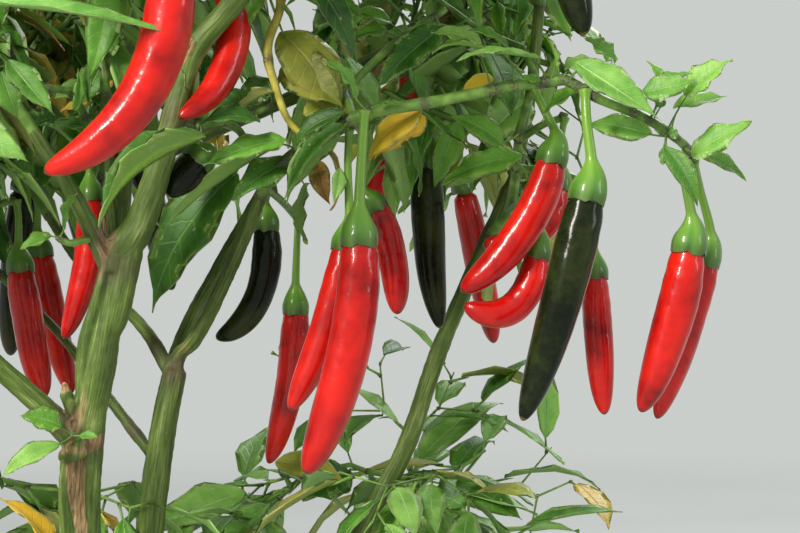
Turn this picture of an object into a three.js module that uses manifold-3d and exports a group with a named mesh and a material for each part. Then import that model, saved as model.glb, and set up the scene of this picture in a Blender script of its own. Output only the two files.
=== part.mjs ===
// A chilli pepper plant rooted in the ground: a short trunk that forks into green stems, and masses of
// leafy twigs whose fruit hangs under them, dark green at first and then red.
// Millimetres. +Z is up, +X runs along the long fruiting branch and -Y is the side it is seen from.
// The origin is the middle of the trunk's flat cut at ground level.
import * as THREE from "three";
import { mergeVertices } from "three/addons/utils/BufferGeometryUtils.js";
import Module from "manifold-3d";

const wasm = await Module();
wasm.setup();

// Driving sizes. A pair of numbers is a least size and how much more there can be
const seatGap = 0.35; // between one piece and the next
const seatLead = 6; // how far a limb runs straight on past the tip that it follows
const limbClearance = 1.6; // from a leaf, twig or fruit to a limb or fruit that isn't its own
const leafClearance = 0.8; // from a leaf to a fruit of its own mass
const trunk = {
  height: 108, foot: 9.2, top: 7.6, buried: 4, flare: 5, flareHeight: 16, lobes: 5, lobeDepth: 0.35,
};
const leafSize = { length: 50, widthShare: 0.42, widestAt: 0.45, thickShare: 0.025, petiole: 9, arch: 0.2 };
const fruitSize = { length: 76, girth: 6.9, shoulder: 0.85, fullBy: 0.3, blunt: 5 };
const stalkSize = { length: 33, radius: 1.3, cup: 9, cupShare: 0.4, lead: 7, out: 0.5, down: 0.28 };
const twigSize = { near: [1.6, 1.3], spur: [1.4, 1.4], shortest: 1.2 };
const crown = { centre: [15, 8, 335], radius: [240, 205, 220], lowest: 130, margin: 0.6 };
// Where the plant is open, seen from the front: the ruled twigs stay out of these
const openView = { x: [-62, 270], y: [-300, -56], z: [204, 400] };
const underCrown = { x: [-45, 275], y: [-60, 95], z: [222, 312] };
const openSky = { x: [160, 300], y: [-240, 96], z: [225, 412] };
// A shoot of a ruled mass from one fork to the next, and the fork itself, with its angles in degrees. overlap
// is how far one twig starts in another, turns are how far a shoot may turn towards its mass's middle, and
// tested is where it has to be clear
const shoot = { internode: 30, shorter: 0.92, vary: [0.85, 0.3], radius: 1.9, thinner: 0.8, overlap: 1.5 };
const fork = {
  spread: 38, vary: [0.8, 0.5], turn: [80, 30], lift: 0.12, turns: [0, 0.45, 0.9], tested: [0.4, 0.7, 1],
};
// Its leaves: how far along the shoot they start, how far they lean out and hang, and how they are folded
const leafRule = {
  start: [0.7, 0.12], lean: 62, lastLean: 45, turns: [60, 240], lastTurns: [0, 120, 240], roll: 30, tilt: 40,
  hang: [0.2, 0.5], span: [0.75, 0.45], fold: [18, 24],
};
// Its fruit: how often one grows, and how it hangs
const fruitRule = {
  share: 0.45, start: 0.55, lean: [10, 16], out: 8, stalk: [0.8, 0.3], span: [0.8, 0.3], girth: [0.85, 0.2],
  bow: 6, sag: 2,
};

// Vectors as plain lists
const add = (a, b, k = 1) => a.map((v, i) => v + b[i] * k);
const dot = (a, b) => a[0] * b[0] + a[1] * b[1] + a[2] * b[2];
const cross = (a, b) => [a[1] * b[2] - a[2] * b[1], a[2] * b[0] - a[0] * b[2], a[0] * b[1] - a[1] * b[0]];
const size = (a) => Math.sqrt(dot(a, a));
const unit = (a) => a.map((v) => v / size(a));
const mix = (a, b, t) => a.map((v, i) => v + (b[i] - v) * t);
const radians = (degrees) => (degrees * Math.PI) / 180;
const ranging = ([least, more], share) => least + more * share;

// The same numbers every time, from 0 to 1
function seeded(seed) {
  let state = seed >>> 0;
  return () => {
    state = (Math.imul(state, 1664525) + 1013904223) >>> 0;
    return state / 4294967296;
  };
}

// Two directions across a line, the first as near to up as it can be
function across(way) {
  const up = Math.abs(way[2]) > 0.99 ? [1, 0, 0] : [0, 0, 1];
  const first = unit(add(up, way, -dot(up, way)));
  return [first, cross(way, first)];
}

// A direction turned away from a line by an angle, on the side that turn gives
function leaning(way, angle, turn) {
  const [first, second] = across(way);
  const side = add(first.map((v) => v * Math.cos(radians(turn))), second, Math.sin(radians(turn)));
  return unit(add(way.map((v) => v * Math.cos(radians(angle))), side, Math.sin(radians(angle))));
}

// Solids
function solidOf(geometry, weld = 1e-4) {
  const bare = geometry.clone();
  bare.deleteAttribute("normal");
  bare.deleteAttribute("uv");
  const merged = mergeVertices(bare, weld);
  return new wasm.Manifold(
    new wasm.Mesh({
      numProp: 3,
      vertProperties: new Float32Array(merged.attributes.position.array),
      triVerts: new Uint32Array(merged.index.array),
    }),
  );
}

// Moves each vertex of a geometry to where place() puts it
function shaped(geometry, place) {
  const spots = geometry.attributes.position;
  const spot = new THREE.Vector3();
  for (let i = 0; i < spots.count; i++) {
    spot.fromBufferAttribute(spots, i);
    spots.setXYZ(i, ...place(spot));
  }
  return geometry;
}

// A round bar bent along a smooth line, or with straight lengths from point to point where it has as many
// steps as those. radiusAt takes a share of the line, from 0 to 1, and rings says at which shares its rings
// are
function bar(points, radiusAt, sides, steps, rings) {
  const line = new THREE.CatmullRomCurve3(points.map((p) => new THREE.Vector3(...p)));
  const grain = 48;
  const frames = line.computeFrenetFrames(grain);
  const round = new THREE.CylinderGeometry(1, 1, 1, sides, steps);
  const jointed = steps === points.length - 1 && !rings;
  return solidOf(
    shaped(round, (v) => {
      const even = Math.min(1, Math.max(0, v.y + 0.5));
      const share = rings ? rings[Math.round(even * steps)] : even;
      const middle = (jointed ? line.getPoint(share) : line.getPointAt(share)).toArray();
      const turn = Math.round(share * grain);
      const radius = radiusAt(share, Math.atan2(v.z, v.x));
      const out = add([0, 0, 0], frames.normals[turn].toArray(), v.x * radius);
      return add(add(middle, out), frames.binormals[turn].toArray(), -v.z * radius);
    }),
  );
}

// The largest closed piece of a solid: what a cut leaves loose, and any sealed hollow, is dropped
function largest(solid) {
  const pieces = solid.decompose();
  return pieces.reduce((best, piece) => (piece.volume() > best.volume() ? piece : best));
}

// Whether each edge of a solid lies between just two of its faces once corners a hair apart are one
function plainEdges(solid, shift) {
  const { vertProperties, triVerts } = solid.getMesh();
  const known = new Map();
  const corner = (i) => {
    const spot = [0, 1, 2].map((k) => Math.round(vertProperties[i * 3 + k] * 400 + shift)).join();
    if (!known.has(spot)) known.set(spot, i);
    return known.get(spot);
  };
  const faces = new Map();
  for (let i = 0; i < triVerts.length; i += 3) {
    const corners = [0, 1, 2].map((k) => corner(triVerts[i + k]));
    if (new Set(corners).size < 3) return false;
    corners.forEach((from, k) => {
      const edge = [from, corners[(k + 1) % 3]].sort((p, q) => p - q).join();
      faces.set(edge, (faces.get(edge) ?? 0) + 1);
    });
  }
  return [...faces.values()].every((count) => count === 2);
}

// A cut or joined solid without its slivers
function tidied(solid) {
  let best;
  for (const sliver of [0.04, 0.03, 0.05, 0.02, 0.06, 0.01]) {
    const { vertProperties, triVerts } = solid.simplify(sliver).getMesh();
    const geometry = new THREE.BufferGeometry();
    geometry.setAttribute("position", new THREE.BufferAttribute(vertProperties, 3));
    geometry.setIndex(new THREE.BufferAttribute(triVerts, 1));
    best = largest(solidOf(geometry, 2e-3));
    if ([0, 0.33, 0.67].every((shift) => plainEdges(best, shift))) return best;
  }
  return best;
}

// The middle line of a limb, twig or fruit as short straight lengths with a radius at each point
function traced(points, radiusAt, count) {
  const line = new THREE.CatmullRomCurve3(points.map((p) => new THREE.Vector3(...p)));
  return Array.from({ length: count + 1 }, (_, i) => ({
    at: line.getPointAt(i / count).toArray(),
    radius: radiusAt(i / count, 0),
  }));
}

// The middle line of a jointed bar
function joints(points, radiusAt) {
  return points.map((at, i) => ({ at, radius: radiusAt(i / (points.length - 1)) }));
}

// How far a point is from the surface round a middle line
function distance(point, line) {
  let least = Infinity;
  for (let i = 1; i < line.length; i++) {
    const from = line[i - 1];
    const along = add(line[i].at, from.at, -1);
    const t = Math.min(1, Math.max(0, dot(add(point, from.at, -1), along) / dot(along, along)));
    const radius = from.radius + (line[i].radius - from.radius) * t;
    least = Math.min(least, size(add(point, add(from.at, along, t), -1)) - radius);
  }
  return least;
}

// The trunk and the stems. A limb that starts inside another is cut clear of it, and one that follows
// another's tip starts just past it
const taper = (from, to) => (t) => from + (to - from) * t;
const limbs = {
  trunk: {
    path: [[0, 0, -trunk.buried], [1, 1, 35], [-1, 1, 72], [0, 0, trunk.height]],
    radius: [trunk.foot, trunk.top],
  },
  left_stem: {
    path: [
      [0, 0, 90], [-3, -20, 128], [-8, -48, 175], [-8, -61, 207], [-6, -66, 236], [-1, -69, 262],
      [6, -70, 300],
    ],
    radius: [6.8, 5.6],
  },
  middle_stem: {
    path: [[1, 1, 94], [6, -16, 145], [12, -25, 200], [16, -22, 235], [21, -20, 261]], radius: [5.6, 4.8],
  },
  leader: {
    follows: "trunk",
    path: [[-10, 10, 150], [-19, 20, 213], [-13, 20, 256], [-7, 20, 300], [-2, 16, 350], [2, 14, 398]],
    radius: [6.2, 2.6],
  },
  right_stem: {
    path: [[1, 2, 84], [42, 16, 130], [84, 26, 185], [109, 30, 232], [119, 30, 262], [149, 34, 331]],
    radius: [5.4, 3],
  },
  left_back_stem: {
    path: [[-1, 2, 80], [-40, 22, 138], [-84, 42, 205], [-108, 52, 270], [-114, 52, 312]],
    radius: [5.2, 2.7],
  },
  back_stem: {
    path: [[0, 2, 88], [-14, 42, 145], [-32, 88, 215], [-27, 112, 280], [-28, 118, 312]], radius: [5, 2.7],
  },
  right_back_stem: {
    path: [[1, 2, 78], [-3, 40, 130], [-2, 84, 205], [8, 96, 262], [26, 104, 300], [45, 110, 334]],
    radius: [5, 2.7],
  },
  upper_stem: {
    follows: "left_stem",
    path: [[12, -71, 311], [18, -72, 325], [27, -74, 354], [33, -75, 374], [46, -76, 390], [56, -80, 404]],
    radius: [4.3, 4.1],
  },
  left_arm: { path: [[5, -70, 296], [-3, -73, 314], [-12, -76, 331], [-22, -78, 347]], radius: [2.9, 2.3] },
  upright_arm: { path: [[5, -68, 294], [3, -62, 318], [1, -57, 342], [-1, -52, 364]], radius: [2.2, 1.8] },
  left_side_stem: {
    path: [[-6, -66, 232], [-15, -69, 245.5], [-34, -75, 264.5], [-54, -79, 283.5], [-80, -78, 318]],
    radius: [4.3, 2.8],
  },
  middle_right_arm: {
    follows: "middle_stem",
    path: [[27, -24, 271], [33, -28, 280], [47, -40, 308], [56, -50, 328]],
    radius: [3, 2.5],
  },
  middle_left_arm: {
    path: [[20, -20, 257], [11, -15, 273], [0, -6, 284], [-18, 6, 300], [-34, 12, 322]], radius: [2.7, 2],
  },
  left_thin_stem: {
    path: [[15, -22, 226], [-10, -4, 254], [-28, 14, 273], [-56, 28, 298]], radius: [2.3, 1.8],
  },
  right_top_arm: {
    follows: "right_stem", path: [[153, 24, 348], [156, 8, 368], [158, -14, 402]], radius: [2.8, 2.2],
  },
  cut_branch: { path: [[-4, 18, 338], [20, 19, 349], [83, 20, 376], [125, 20, 400]], radius: [3.4, 2.7] },
  low_right_stem: { path: [[0, 1, 62], [32, 22, 92], [60, 40, 128], [74, 48, 152]], radius: [3.6, 2.3] },
  low_left_stem: {
    path: [[0, 0, 66], [-22, -14, 100], [-36, -26, 134], [-42, -32, 154]], radius: [3.4, 2.2],
  },
};

// The trunk's radius: it tapers, and its foot spreads out into the roots' ridges
function trunkRadius(t, angle) {
  const height = Math.max(0, t * (trunk.height + trunk.buried) - trunk.buried);
  const spread = trunk.flare * Math.max(0, 1 - height / trunk.flareHeight) ** 2;
  return taper(trunk.foot, trunk.top)(t) + spread * (1 + trunk.lobeDepth * Math.cos(trunk.lobes * angle));
}

const ground = solidOf(new THREE.BoxGeometry(90, 90, 30).translate(0, 0, -15));
const thickLimb = 4; // limbs over this radius at their root have more sides
const finishedLimbs = {};
const barriers = []; // the middle lines that nothing else may touch
for (const [name, limb] of Object.entries(limbs)) {
  const before = limbs[limb.follows];
  if (before) limb.path.unshift(add(before.tip, before.way, seatGap), add(before.tip, before.way, seatLead));
  const radiusAt = name === "trunk" ? trunkRadius : taper(...limb.radius);
  const [sides, steps] = limb.radius[0] > thickLimb ? [8, 8] : [6, 6];
  limb.line = traced(limb.path, radiusAt, 20);
  let solid = bar(limb.path, radiusAt, sides, steps).subtract(ground);
  for (const other of Object.values(finishedLimbs)) solid = solid.subtract(other.wide);
  const wide = bar(limb.path, (t, angle) => radiusAt(t, angle) + seatGap, sides, steps);
  finishedLimbs[name] = { solid: tidied(solid), wide };
  limb.tip = limb.line.at(-1).at;
  limb.way = unit(add(limb.tip, limb.line.at(-2).at, -1));
  barriers.push({ line: limb.line });
}

// Fruit that shows near by, each hung from its own stalk. root is where the stalk leaves the twig, neck the
// fruit's shoulder and tip its end; bow pushes the middle of the fruit aside; blunt is how late it narrows
const fruits = {
  red_fruit_front: {
    on: "top_front", root: [42, -138, 424], neck: [35, -152, 397], tip: [-5, -152, 329], girth: 6.9,
    bow: [10.5, 0, -9], blunt: 3,
  },
  red_fruit_upper: {
    on: "top_front", root: [52, -64, 423], neck: [43.5, -60, 404], tip: [29, -83, 351], girth: 6.2,
    bow: [8.5, 2, -6], blunt: 3,
  },
  red_fruit_centre: {
    on: "right_spray", root: [93, -78, 354], neck: [91, -79, 310], tip: [72.5, -77, 228], girth: 7.5,
    bow: [5, -1, 0], blunt: 6,
  },
  red_fruit_inner: {
    on: "right_spray", root: [87, -60, 349], neck: [86, -58, 308], tip: [66, -60, 249], girth: 6.2,
    bow: [3, 0, 0], blunt: 4,
  },
  red_fruit_behind: {
    on: "right_spray", root: [93, -28, 352], neck: [95, -20, 323], tip: [104, -16, 282], girth: 5.6,
    bow: [2, 0, 4], blunt: 5,
  },
  green_fruit_behind: {
    on: "right_crown", root: [114, 2, 362], neck: [116, 5, 341], tip: [120.5, 5, 276], girth: 6.6,
    bow: [-2, 0, 0], blunt: 3,
  },
  red_fruit_slant: {
    on: "right_crown", root: [154, -42, 364], neck: [160, -50, 339.5], tip: [127, -52, 291], girth: 6.6,
    bow: [5, 0, -3], blunt: 5,
  },
  red_fruit_slant_far: {
    on: "right_crown", root: [167, -18, 356], neck: [164.5, -20, 331], tip: [136, -26, 308], girth: 5.8,
    bow: [6, 0, -6], blunt: 5,
  },
  red_fruit_hooked: {
    on: "right_crown", root: [153, -24, 330], neck: [155, -43, 305], tip: [128, -50, 286], girth: 5.8,
    bow: [4.5, 0, -10.5], blunt: 4,
  },
  green_fruit_centre: {
    on: "far_right_spray", root: [169, -79, 361], neck: [169.5, -83, 325], tip: [147, -83, 247], girth: 7.6,
    bow: [1.5, -1, 0], blunt: 3,
  },
  red_fruit_far: {
    on: "right_crown", root: [180, -6, 330], neck: [178.8, -12, 298], tip: [182.3, -14, 244], girth: 5.7,
    bow: [-0.3, 0, 0], blunt: 4,
  },
  red_fruit_right: {
    on: "far_right_spray", root: [204, -66, 338], neck: [208, -58, 307.6], tip: [191, -56, 248], girth: 7.2,
    bow: [2, 0, 0], blunt: 3.5,
  },
  red_fruit_right_far: {
    on: "far_right_spray", root: [210, -55, 338], neck: [217, -38, 303], tip: [199.5, -34, 244], girth: 6.3,
    bow: [0.5, 0, 0], blunt: 3.5,
  },
  green_fruit_top: {
    on: "right_top", root: [158, -76, 470], neck: [160, -84, 440], tip: [168, -86, 379], girth: 7,
    bow: [-2, 0, 0], blunt: 5,
  },
  red_fruit_left_far: {
    on: "left_inner", root: [-45, 12, 326], neck: [-43, 10, 300], tip: [-33, 6, 249], girth: 6.2,
    bow: [-1, 0, 0], blunt: 5,
  },
  red_fruit_left: {
    on: "left_spray", root: [-8, -50, 352], neck: [-7, -46, 326], tip: [-16, -50, 274], girth: 5.2,
    bow: [3, 0, -1], blunt: 4,
  },
  red_fruit_edge: {
    on: "left_side_stem", root: [-72, -78, 306.5], neck: [-70, -71, 294], tip: [-38, -62, 250], girth: 6,
    bow: [2, 0, -3], blunt: 4,
  },
  red_fruit_left_back: {
    on: "inner_crown", root: [-42, 36, 330], neck: [-40, 36, 306], tip: [-27, 34, 249], girth: 6,
    bow: [-1, 0, 0], blunt: 4,
  },
  red_fruit_top_far: {
    on: "cut_branch", root: [107, 20, 389], neck: [109, 25, 378], tip: [113, 24, 332], girth: 6,
    bow: [1, 0, 0], blunt: 4,
  },
  red_fruit_low: {
    on: "right_spray", root: [66, -4, 318], neck: [64, 18, 284], tip: [53, 22, 222], girth: 6,
    bow: [3, 0, 0], blunt: 4,
  },
  green_fruit_curved: {
    on: "right_spray", root: [58, -38, 334], neck: [55, -22, 316], tip: [36, -20, 273], girth: 5.6,
    bow: [6, 0, -7], blunt: 5,
  },
  green_fruit_small: {
    on: "inner_spray", root: [31, -62, 347], neck: [31, -61, 338], tip: [30, -64, 321], girth: 6.4,
    bow: [0, 0, 0], blunt: 6,
  },
};

// A fruit's middle line from its root, down the stalk, and on to its tip
function fruitPath({ root, neck, tip, bow = [0, 0, 0] }) {
  const { out, down, lead } = stalkSize;
  const bend = root.map((v, i) => v + (neck[i] - v) * (i < 2 ? out : down));
  const middle = add(mix(neck, tip, 0.5), bow);
  return [root, bend, add(neck, unit(add(neck, middle, -1)), lead), neck, middle, tip];
}

const lengthOf = (points) => points.slice(1).reduce((sum, p, i) => sum + size(add(p, points[i], -1)), 0);

// Where along that line its stalk meets the shoulder, and where the cup over the shoulder starts
function fruitShares(fruit) {
  const path = fruitPath(fruit);
  const whole = lengthOf(path);
  const shoulder = lengthOf(path.slice(0, 4)) / whole;
  return { shoulder, cup: shoulder - Math.min(stalkSize.cup / whole, shoulder * stalkSize.cupShare) };
}

// A fruit's radius along that line: a thin stalk, the cup that flares over the shoulder, and the body
function fruitRadius(fruit) {
  const { shoulder, cup } = fruitShares(fruit);
  const neck = fruit.girth * fruitSize.shoulder;
  const flare = (t) => stalkSize.radius + (neck - stalkSize.radius) * t * t;
  return (t) => {
    if (t < cup) return stalkSize.radius;
    if (t < shoulder) return flare((t - cup) / (shoulder - cup));
    const s = (t - shoulder) / (1 - shoulder);
    const full = Math.sin(Math.min(1, s / fruitSize.fullBy) * Math.PI * 0.5);
    const end = Math.sqrt(Math.max(0.02, 1 - s ** (fruit.blunt ?? fruitSize.blunt)));
    return (neck + (fruit.girth - neck) * full) * end;
  };
}

for (const fruit of Object.values(fruits))
  barriers.push({ line: traced(fruitPath(fruit), fruitRadius(fruit), 16) });

// The masses. Each starts just past its limb's tip or, with an at, just off the side of its limb. stem and
// twigs are the ones that show. levels is how many times the ruled twigs fork on from the stem's end, seed
// deals them out, and middle is what they grow round. leaves that show are [blade's base, tip, width, face,
// fold]: face 0 looks up and 90 at the viewer
const masses = {
  right_spray: {
    from: "middle_right_arm",
    stem: [[71, -62, 342], [89, -70, 352], [119, -72, 357.8], [142, -74, 362.3], [159, -76, 364.3]],
    radius: [2.3, 1.9],
    twigs: [
      [[89, -70, 352], [87, -56, 358], [86, -42, 364], [101, -37, 380], [122, -33, 395]],
      [[89, -70, 352], [90, -50, 350], [93, -28, 352]],
    ],
    leaves: [
      [[86, -76, 349], [57, -84, 315], 15, 42, 52],
      [[86, -72, 354], [68, -66, 341], 12, 55, 35],
      [[90, -78, 358], [78, -84, 371], 11, 50, 40],
      [[84, -70, 347], [65, -66, 322], 14, -50, 40],
      [[114, -66, 357], [94, -52, 338], 15, 70, 20],
      [[121, -38, 388], [96, -44, 364], 15, 60, 25],
      [[134, -68, 376], [116, -60, 383], 10, 50, 30],
      [[136, -76, 375], [116, -82, 373], 10, 15, 35],
      [[154, -80, 372], [124, -88, 370], 12, 15, 35],
      [[143, -78, 375], [128, -84, 381], 10, 35, 35],
      [[159, -80, 369], [154, -86, 380], 10, 50, 30],
      [[80, -62, 342], [80, -52, 320], 7, 60, 40],
      [[72, -54, 330], [71, -42, 308], 12, 60, 30],
      [[97, -76, 356], [106, -78, 357], 5, 20, 30],
      [[138, -60, 366], [128, -44, 364], 9, 60, 15],
      [[106, -30, 354], [112, -24, 326], 11, 60, 25],
      [[84, -46, 362], [70, -54, 354], 24, 65, 15],
    ],
  },
  far_right_spray: {
    from: "right_spray",
    stem: [[174, -78, 358], [188, -80, 352], [196, -82, 347], [203, -74, 343], [209, -64, 339]],
    radius: [1.9, 1.4],
    twigs: [],
    leaves: [
      [[165, -86, 370], [192, -96, 350], 17, 45, 28],
      [[162, -80, 368], [175, -70, 372], 9, 30, 30],
      [[180, -76, 371], [169, -80, 379], 11, 55, 30],
      [[198, -78, 360], [190, -80, 371], 6, 60, 30],
      [[190, -84, 362], [205, -86, 366], 8, 35, 35],
      [[187, -88, 359], [205, -92, 363], 11, 62, 22],
      [[203, -80, 359], [219, -84, 371], 12, 62, 25],
      [[200, -74, 355], [220, -66, 360], 9, 40, 30],
      [[206, -78, 338], [229, -86, 352], 15, 62, 25],
      [[211, -68, 340], [226, -60, 347], 7, 40, 30],
      [[208, -72, 340], [227, -66, 330], 10, 52, 25],
      [[195, -88, 341], [206, -92, 320], 13, 78, 22],
      [[193, -72, 346], [172, -54, 350], 12, 55, 25],
      [[167, -70, 361], [156, -52, 352], 11, 55, 25],
    ],
  },
  inner_spray: {
    from: "upper_stem",
    at: [27, -74, 353],
    stem: [[32, -70, 350], [42, -66, 351], [52, -62, 354], [60, -60, 358]],
    radius: [1.9, 1.2],
    twigs: [[[42, -66, 351], [48, -54, 348], [50, -50, 342]]],
    leaves: [
      [[38, -80, 345], [3, -92, 313], 16, 32, 50],
      [[56, -68, 351], [35, -76, 349], 11, 45, 30],
      [[60, -64, 362], [47, -68, 354], 10, -45, 30],
      [[59, -58, 342], [21, -64, 313], 15, -25, 40],
      [[46, -48, 334], [15, -42, 283], 24, 72, 14],
      [[31, -72, 356], [27, -78, 374], 8, 60, 30],
    ],
  },
  left_spray: {
    from: "left_arm",
    stem: [[-28, -82, 357], [-34, -92, 368], [-40, -112, 378], [-44, -136, 384]],
    radius: [2.1, 1.2],
    twigs: [[[-28, -82, 357], [-20, -70, 362], [-10, -60, 362]]],
    leaves: [
      [[-28, -92, 370], [-11, -98, 351], 12, 45, 30],
      [[-30, -94, 366], [-24, -96, 350], 13, 65, 20],
      [[-42, -112, 348], [-16, -118, 334], 15, 60, 20],
      [[-22, -66, 362], [-31, -60, 372], 10, 60, 20],
      [[-10, -64, 355], [-9, -62, 370], 6, 70, 30],
      [[-24, -158, 381], [36, -164, 371], 14, 28, 30],
      [[-46, -140, 380], [-82, -150, 362], 16, 40, 25],
      [[-40, -110, 384], [-66, -104, 402], 15, 20, 25],
      [[-36, -84, 372], [-58, -72, 388], 15, 30, 25],
    ],
  },
  knot_shoot: {
    from: "left_stem",
    at: [-6, -66, 239],
    stem: [[-7, -78, 241], [-8, -82, 242]],
    radius: [1.4, 1.1],
    twigs: [],
    leaves: [
      [[-11, -83, 245], [-25, -86, 249], 11, 58, 28],
      [[-12, -83, 239], [-31, -88, 228], 10, 48, 32],
      [[-5, -83, 242], [2, -85, 241], 5, 45, 30],
    ],
  },
  fork_shoot: {
    from: "left_arm",
    at: [-1, -72, 310],
    stem: [[-9, -80, 308], [-13, -83, 310]],
    radius: [1.4, 1.1],
    twigs: [],
    leaves: [
      [[-15, -83, 311], [-25, -86, 306], 8, 40, 30],
      [[-10, -84, 313], [-5, -88, 325], 8, 70, 20],
    ],
  },
  top_front: {
    from: "upper_stem",
    stem: [[60, -86, 417], [64, -94, 432]],
    radius: [2.8, 2.2],
    twigs: [[[60, -86, 417], [50, -76, 428]]],
    levels: 3,
    seed: 11,
    middle: [60, -108, 462],
    leaves: [
      [[71, -72, 404], [90, -76, 370], 12, 65, 30],
      [[64, -62, 400], [88, -64, 384], 13, 45, 30],
      [[55, -62, 402], [50, -66, 382], 11, 60, 25],
      [[72, -40, 402], [92, -44, 389], 12, 45, 25],
      [[62, -54, 384], [84, -52, 352], 22, 72, 14],
      [[2, -60, 402], [-5, -64, 365], 14, 60, 25],
    ],
  },
  left_crown: {
    from: "left_side_stem", stem: [[-92, -80, 338], [-104, -84, 352]], radius: [2.7, 2.2], levels: 3,
    seed: 24, middle: [-134, -86, 384], leaves: [],
  },
  left_inner: {
    from: "left_thin_stem", stem: [[-62, 10, 310], [-66, 2, 326]], radius: [1.8, 1.6], levels: 3, seed: 31,
    middle: [-62, -18, 372], leaves: [],
  },
  left_back: {
    from: "left_back_stem", stem: [[-120, 54, 326], [-126, 56, 338]], radius: [2.6, 2.1], levels: 3,
    seed: 41, middle: [-136, 60, 382], leaves: [],
  },
  inner_crown: {
    from: "middle_left_arm", stem: [[-42, 14, 336]], radius: [1.9, 1.7], levels: 2, seed: 53,
    middle: [-30, 50, 356], leaves: [],
  },
  upright_spray: {
    from: "upright_arm", stem: [[-3, -49, 376]], radius: [1.8, 1.6], levels: 2, seed: 61,
    middle: [-12, -48, 408], leaves: [[[-3, -46, 374], [-10, -50, 358], 12, 60, 20]],
  },
  leader_crown: {
    from: "leader", stem: [[6, 10, 412], [8, 6, 426]], radius: [2.5, 2.1], levels: 3, seed: 71,
    middle: [4, 6, 476], leaves: [],
  },
  back_crown: {
    from: "back_stem", stem: [[-30, 124, 326], [-30, 128, 338]], radius: [2.6, 2.1], levels: 3, seed: 83,
    middle: [-36, 142, 392], leaves: [],
  },
  right_back: {
    from: "right_back_stem", stem: [[58, 114, 348], [74, 117, 358]], radius: [2.6, 2.1], levels: 3,
    seed: 98, middle: [104, 122, 388], leaves: [],
  },
  right_crown: {
    from: "right_stem",
    at: [140, 33, 311],
    stem: [[148, 22, 322], [150, 4, 338], [150, -10, 348]],
    radius: [2.2, 1.7],
    twigs: [
      [[150, -10, 348], [152, -28, 360], [154, -42, 364]],
      [[150, 4, 338], [134, 4, 352], [114, 2, 362]],
      [[148, 22, 322], [152, -2, 326], [152, -24, 330]],
      [[150, 4, 338], [166, -2, 336], [180, -6, 330]],
      [[150, -10, 348], [160, -14, 354], [167, -18, 356]],
    ],
    levels: 3,
    seed: 103,
    middle: [156, 30, 352],
    leaves: [
      [[150, -36, 341], [120, -32, 330], 14, 60, 25],
      [[144, -20, 345], [124, -22, 356], 13, 60, 20],
      [[128, 0, 356], [118, -8, 330], 12, 60, 20],
    ],
  },
  right_top: {
    from: "right_top_arm", stem: [[158, -24, 416], [158, -34, 430]], radius: [2.1, 1.9],
    twigs: [[[158, -34, 430], [160, -56, 452], [158, -76, 470]]], levels: 3, seed: 113,
    middle: [150, -46, 462], leaves: [],
  },
  low_right: {
    from: "low_right_stem", stem: [[80, 52, 164]], radius: [2.2, 1.9], levels: 2, seed: 127,
    middle: [92, 52, 188], leaves: [],
  },
  low_left: {
    from: "low_left_stem", stem: [[-45, -36, 166]], radius: [2.1, 1.8], levels: 2, seed: 139,
    middle: [-56, -40, 186], leaves: [[[-17, -54, 196], [-38, -60, 218], 12, 40, 25]],
  },
};

const ruled = Object.entries(masses).filter(([, mass]) => mass.middle);
const within = (v, [low, high]) => v > low && v < high;

// Whether a point is in a mass's own space: nearer to its middle than to any other, inside the crown, and
// not in the open view from the front
function inSpace(point, name) {
  const [x, y, z] = point;
  const open = [openView, underCrown, openSky];
  if (open.some((box) => within(x, box.x) && within(y, box.y) && within(z, box.z))) return false;
  const out = point.map((v, i) => (v - crown.centre[i]) / crown.radius[i]);
  if (size(out) > 1 || z < crown.lowest) return false;
  const own = masses[name].middle;
  const near = size(add(point, own, -1));
  return ruled.every(([other, { middle }]) => {
    if (other === name) return true;
    const far = size(add(point, middle, -1));
    return (near * near - far * far) / (2 * size(add(middle, own, -1))) < -crown.margin;
  });
}

// Whether every point is clear of a set of middle lines
function clear(points, room, ways) {
  return points.every((point) => ways.every(({ line }) => distance(point, line) > room));
}

// The corners of a leaf's blade: its two sides at the widest, its middle, its tip and a spot between
function leafCorners({ base, tip, width, normal, fold }) {
  const side = cross(unit(add(tip, base, -1)), normal);
  const middle = mix(base, tip, leafSize.widestAt);
  const lift = (width / 2) * Math.sin(radians(fold));
  const reach = (width / 2) * Math.cos(radians(fold));
  const sides = [-reach, reach].map((out) => add(add(middle, normal, lift), side, out));
  return [...sides, middle, tip, mix(base, tip, 0.72)];
}

// The upper face's direction: up where face is 0, towards the viewer where it is 90
function faceNormal(base, tip, face) {
  const [up, side] = across(unit(add(tip, base, -1)));
  const seen = side[1] > 0 ? -1 : 1;
  return unit(add(up.map((v) => v * Math.cos(radians(face))), side, seen * Math.sin(radians(face))));
}

// A leaf on a shoot, from three dealt numbers
function ruledLeaf(tip, way, length, last, [turn, i], curl, [longLeaf, roll, dip]) {
  const root = add(tip.at, way, length * ranging(leafRule.start, i));
  const lean = last ? leafRule.lastLean : leafRule.lean;
  const out = leaning(way, lean, tip.turn + turn + leafRule.roll * (roll - 0.5));
  const droop = unit(add(out, [0, 0, -ranging(leafRule.hang, dip)]));
  const base = add(root, out, leafSize.petiole);
  const span = leafSize.length * ranging(leafRule.span, longLeaf);
  const end = add(base, droop, span);
  const normal = faceNormal(base, end, leafRule.tilt * (roll - 0.5));
  const fold = ranging(leafRule.fold, curl);
  return { root, base, tip: end, width: span * leafSize.widthShare, normal, fold };
}

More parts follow.
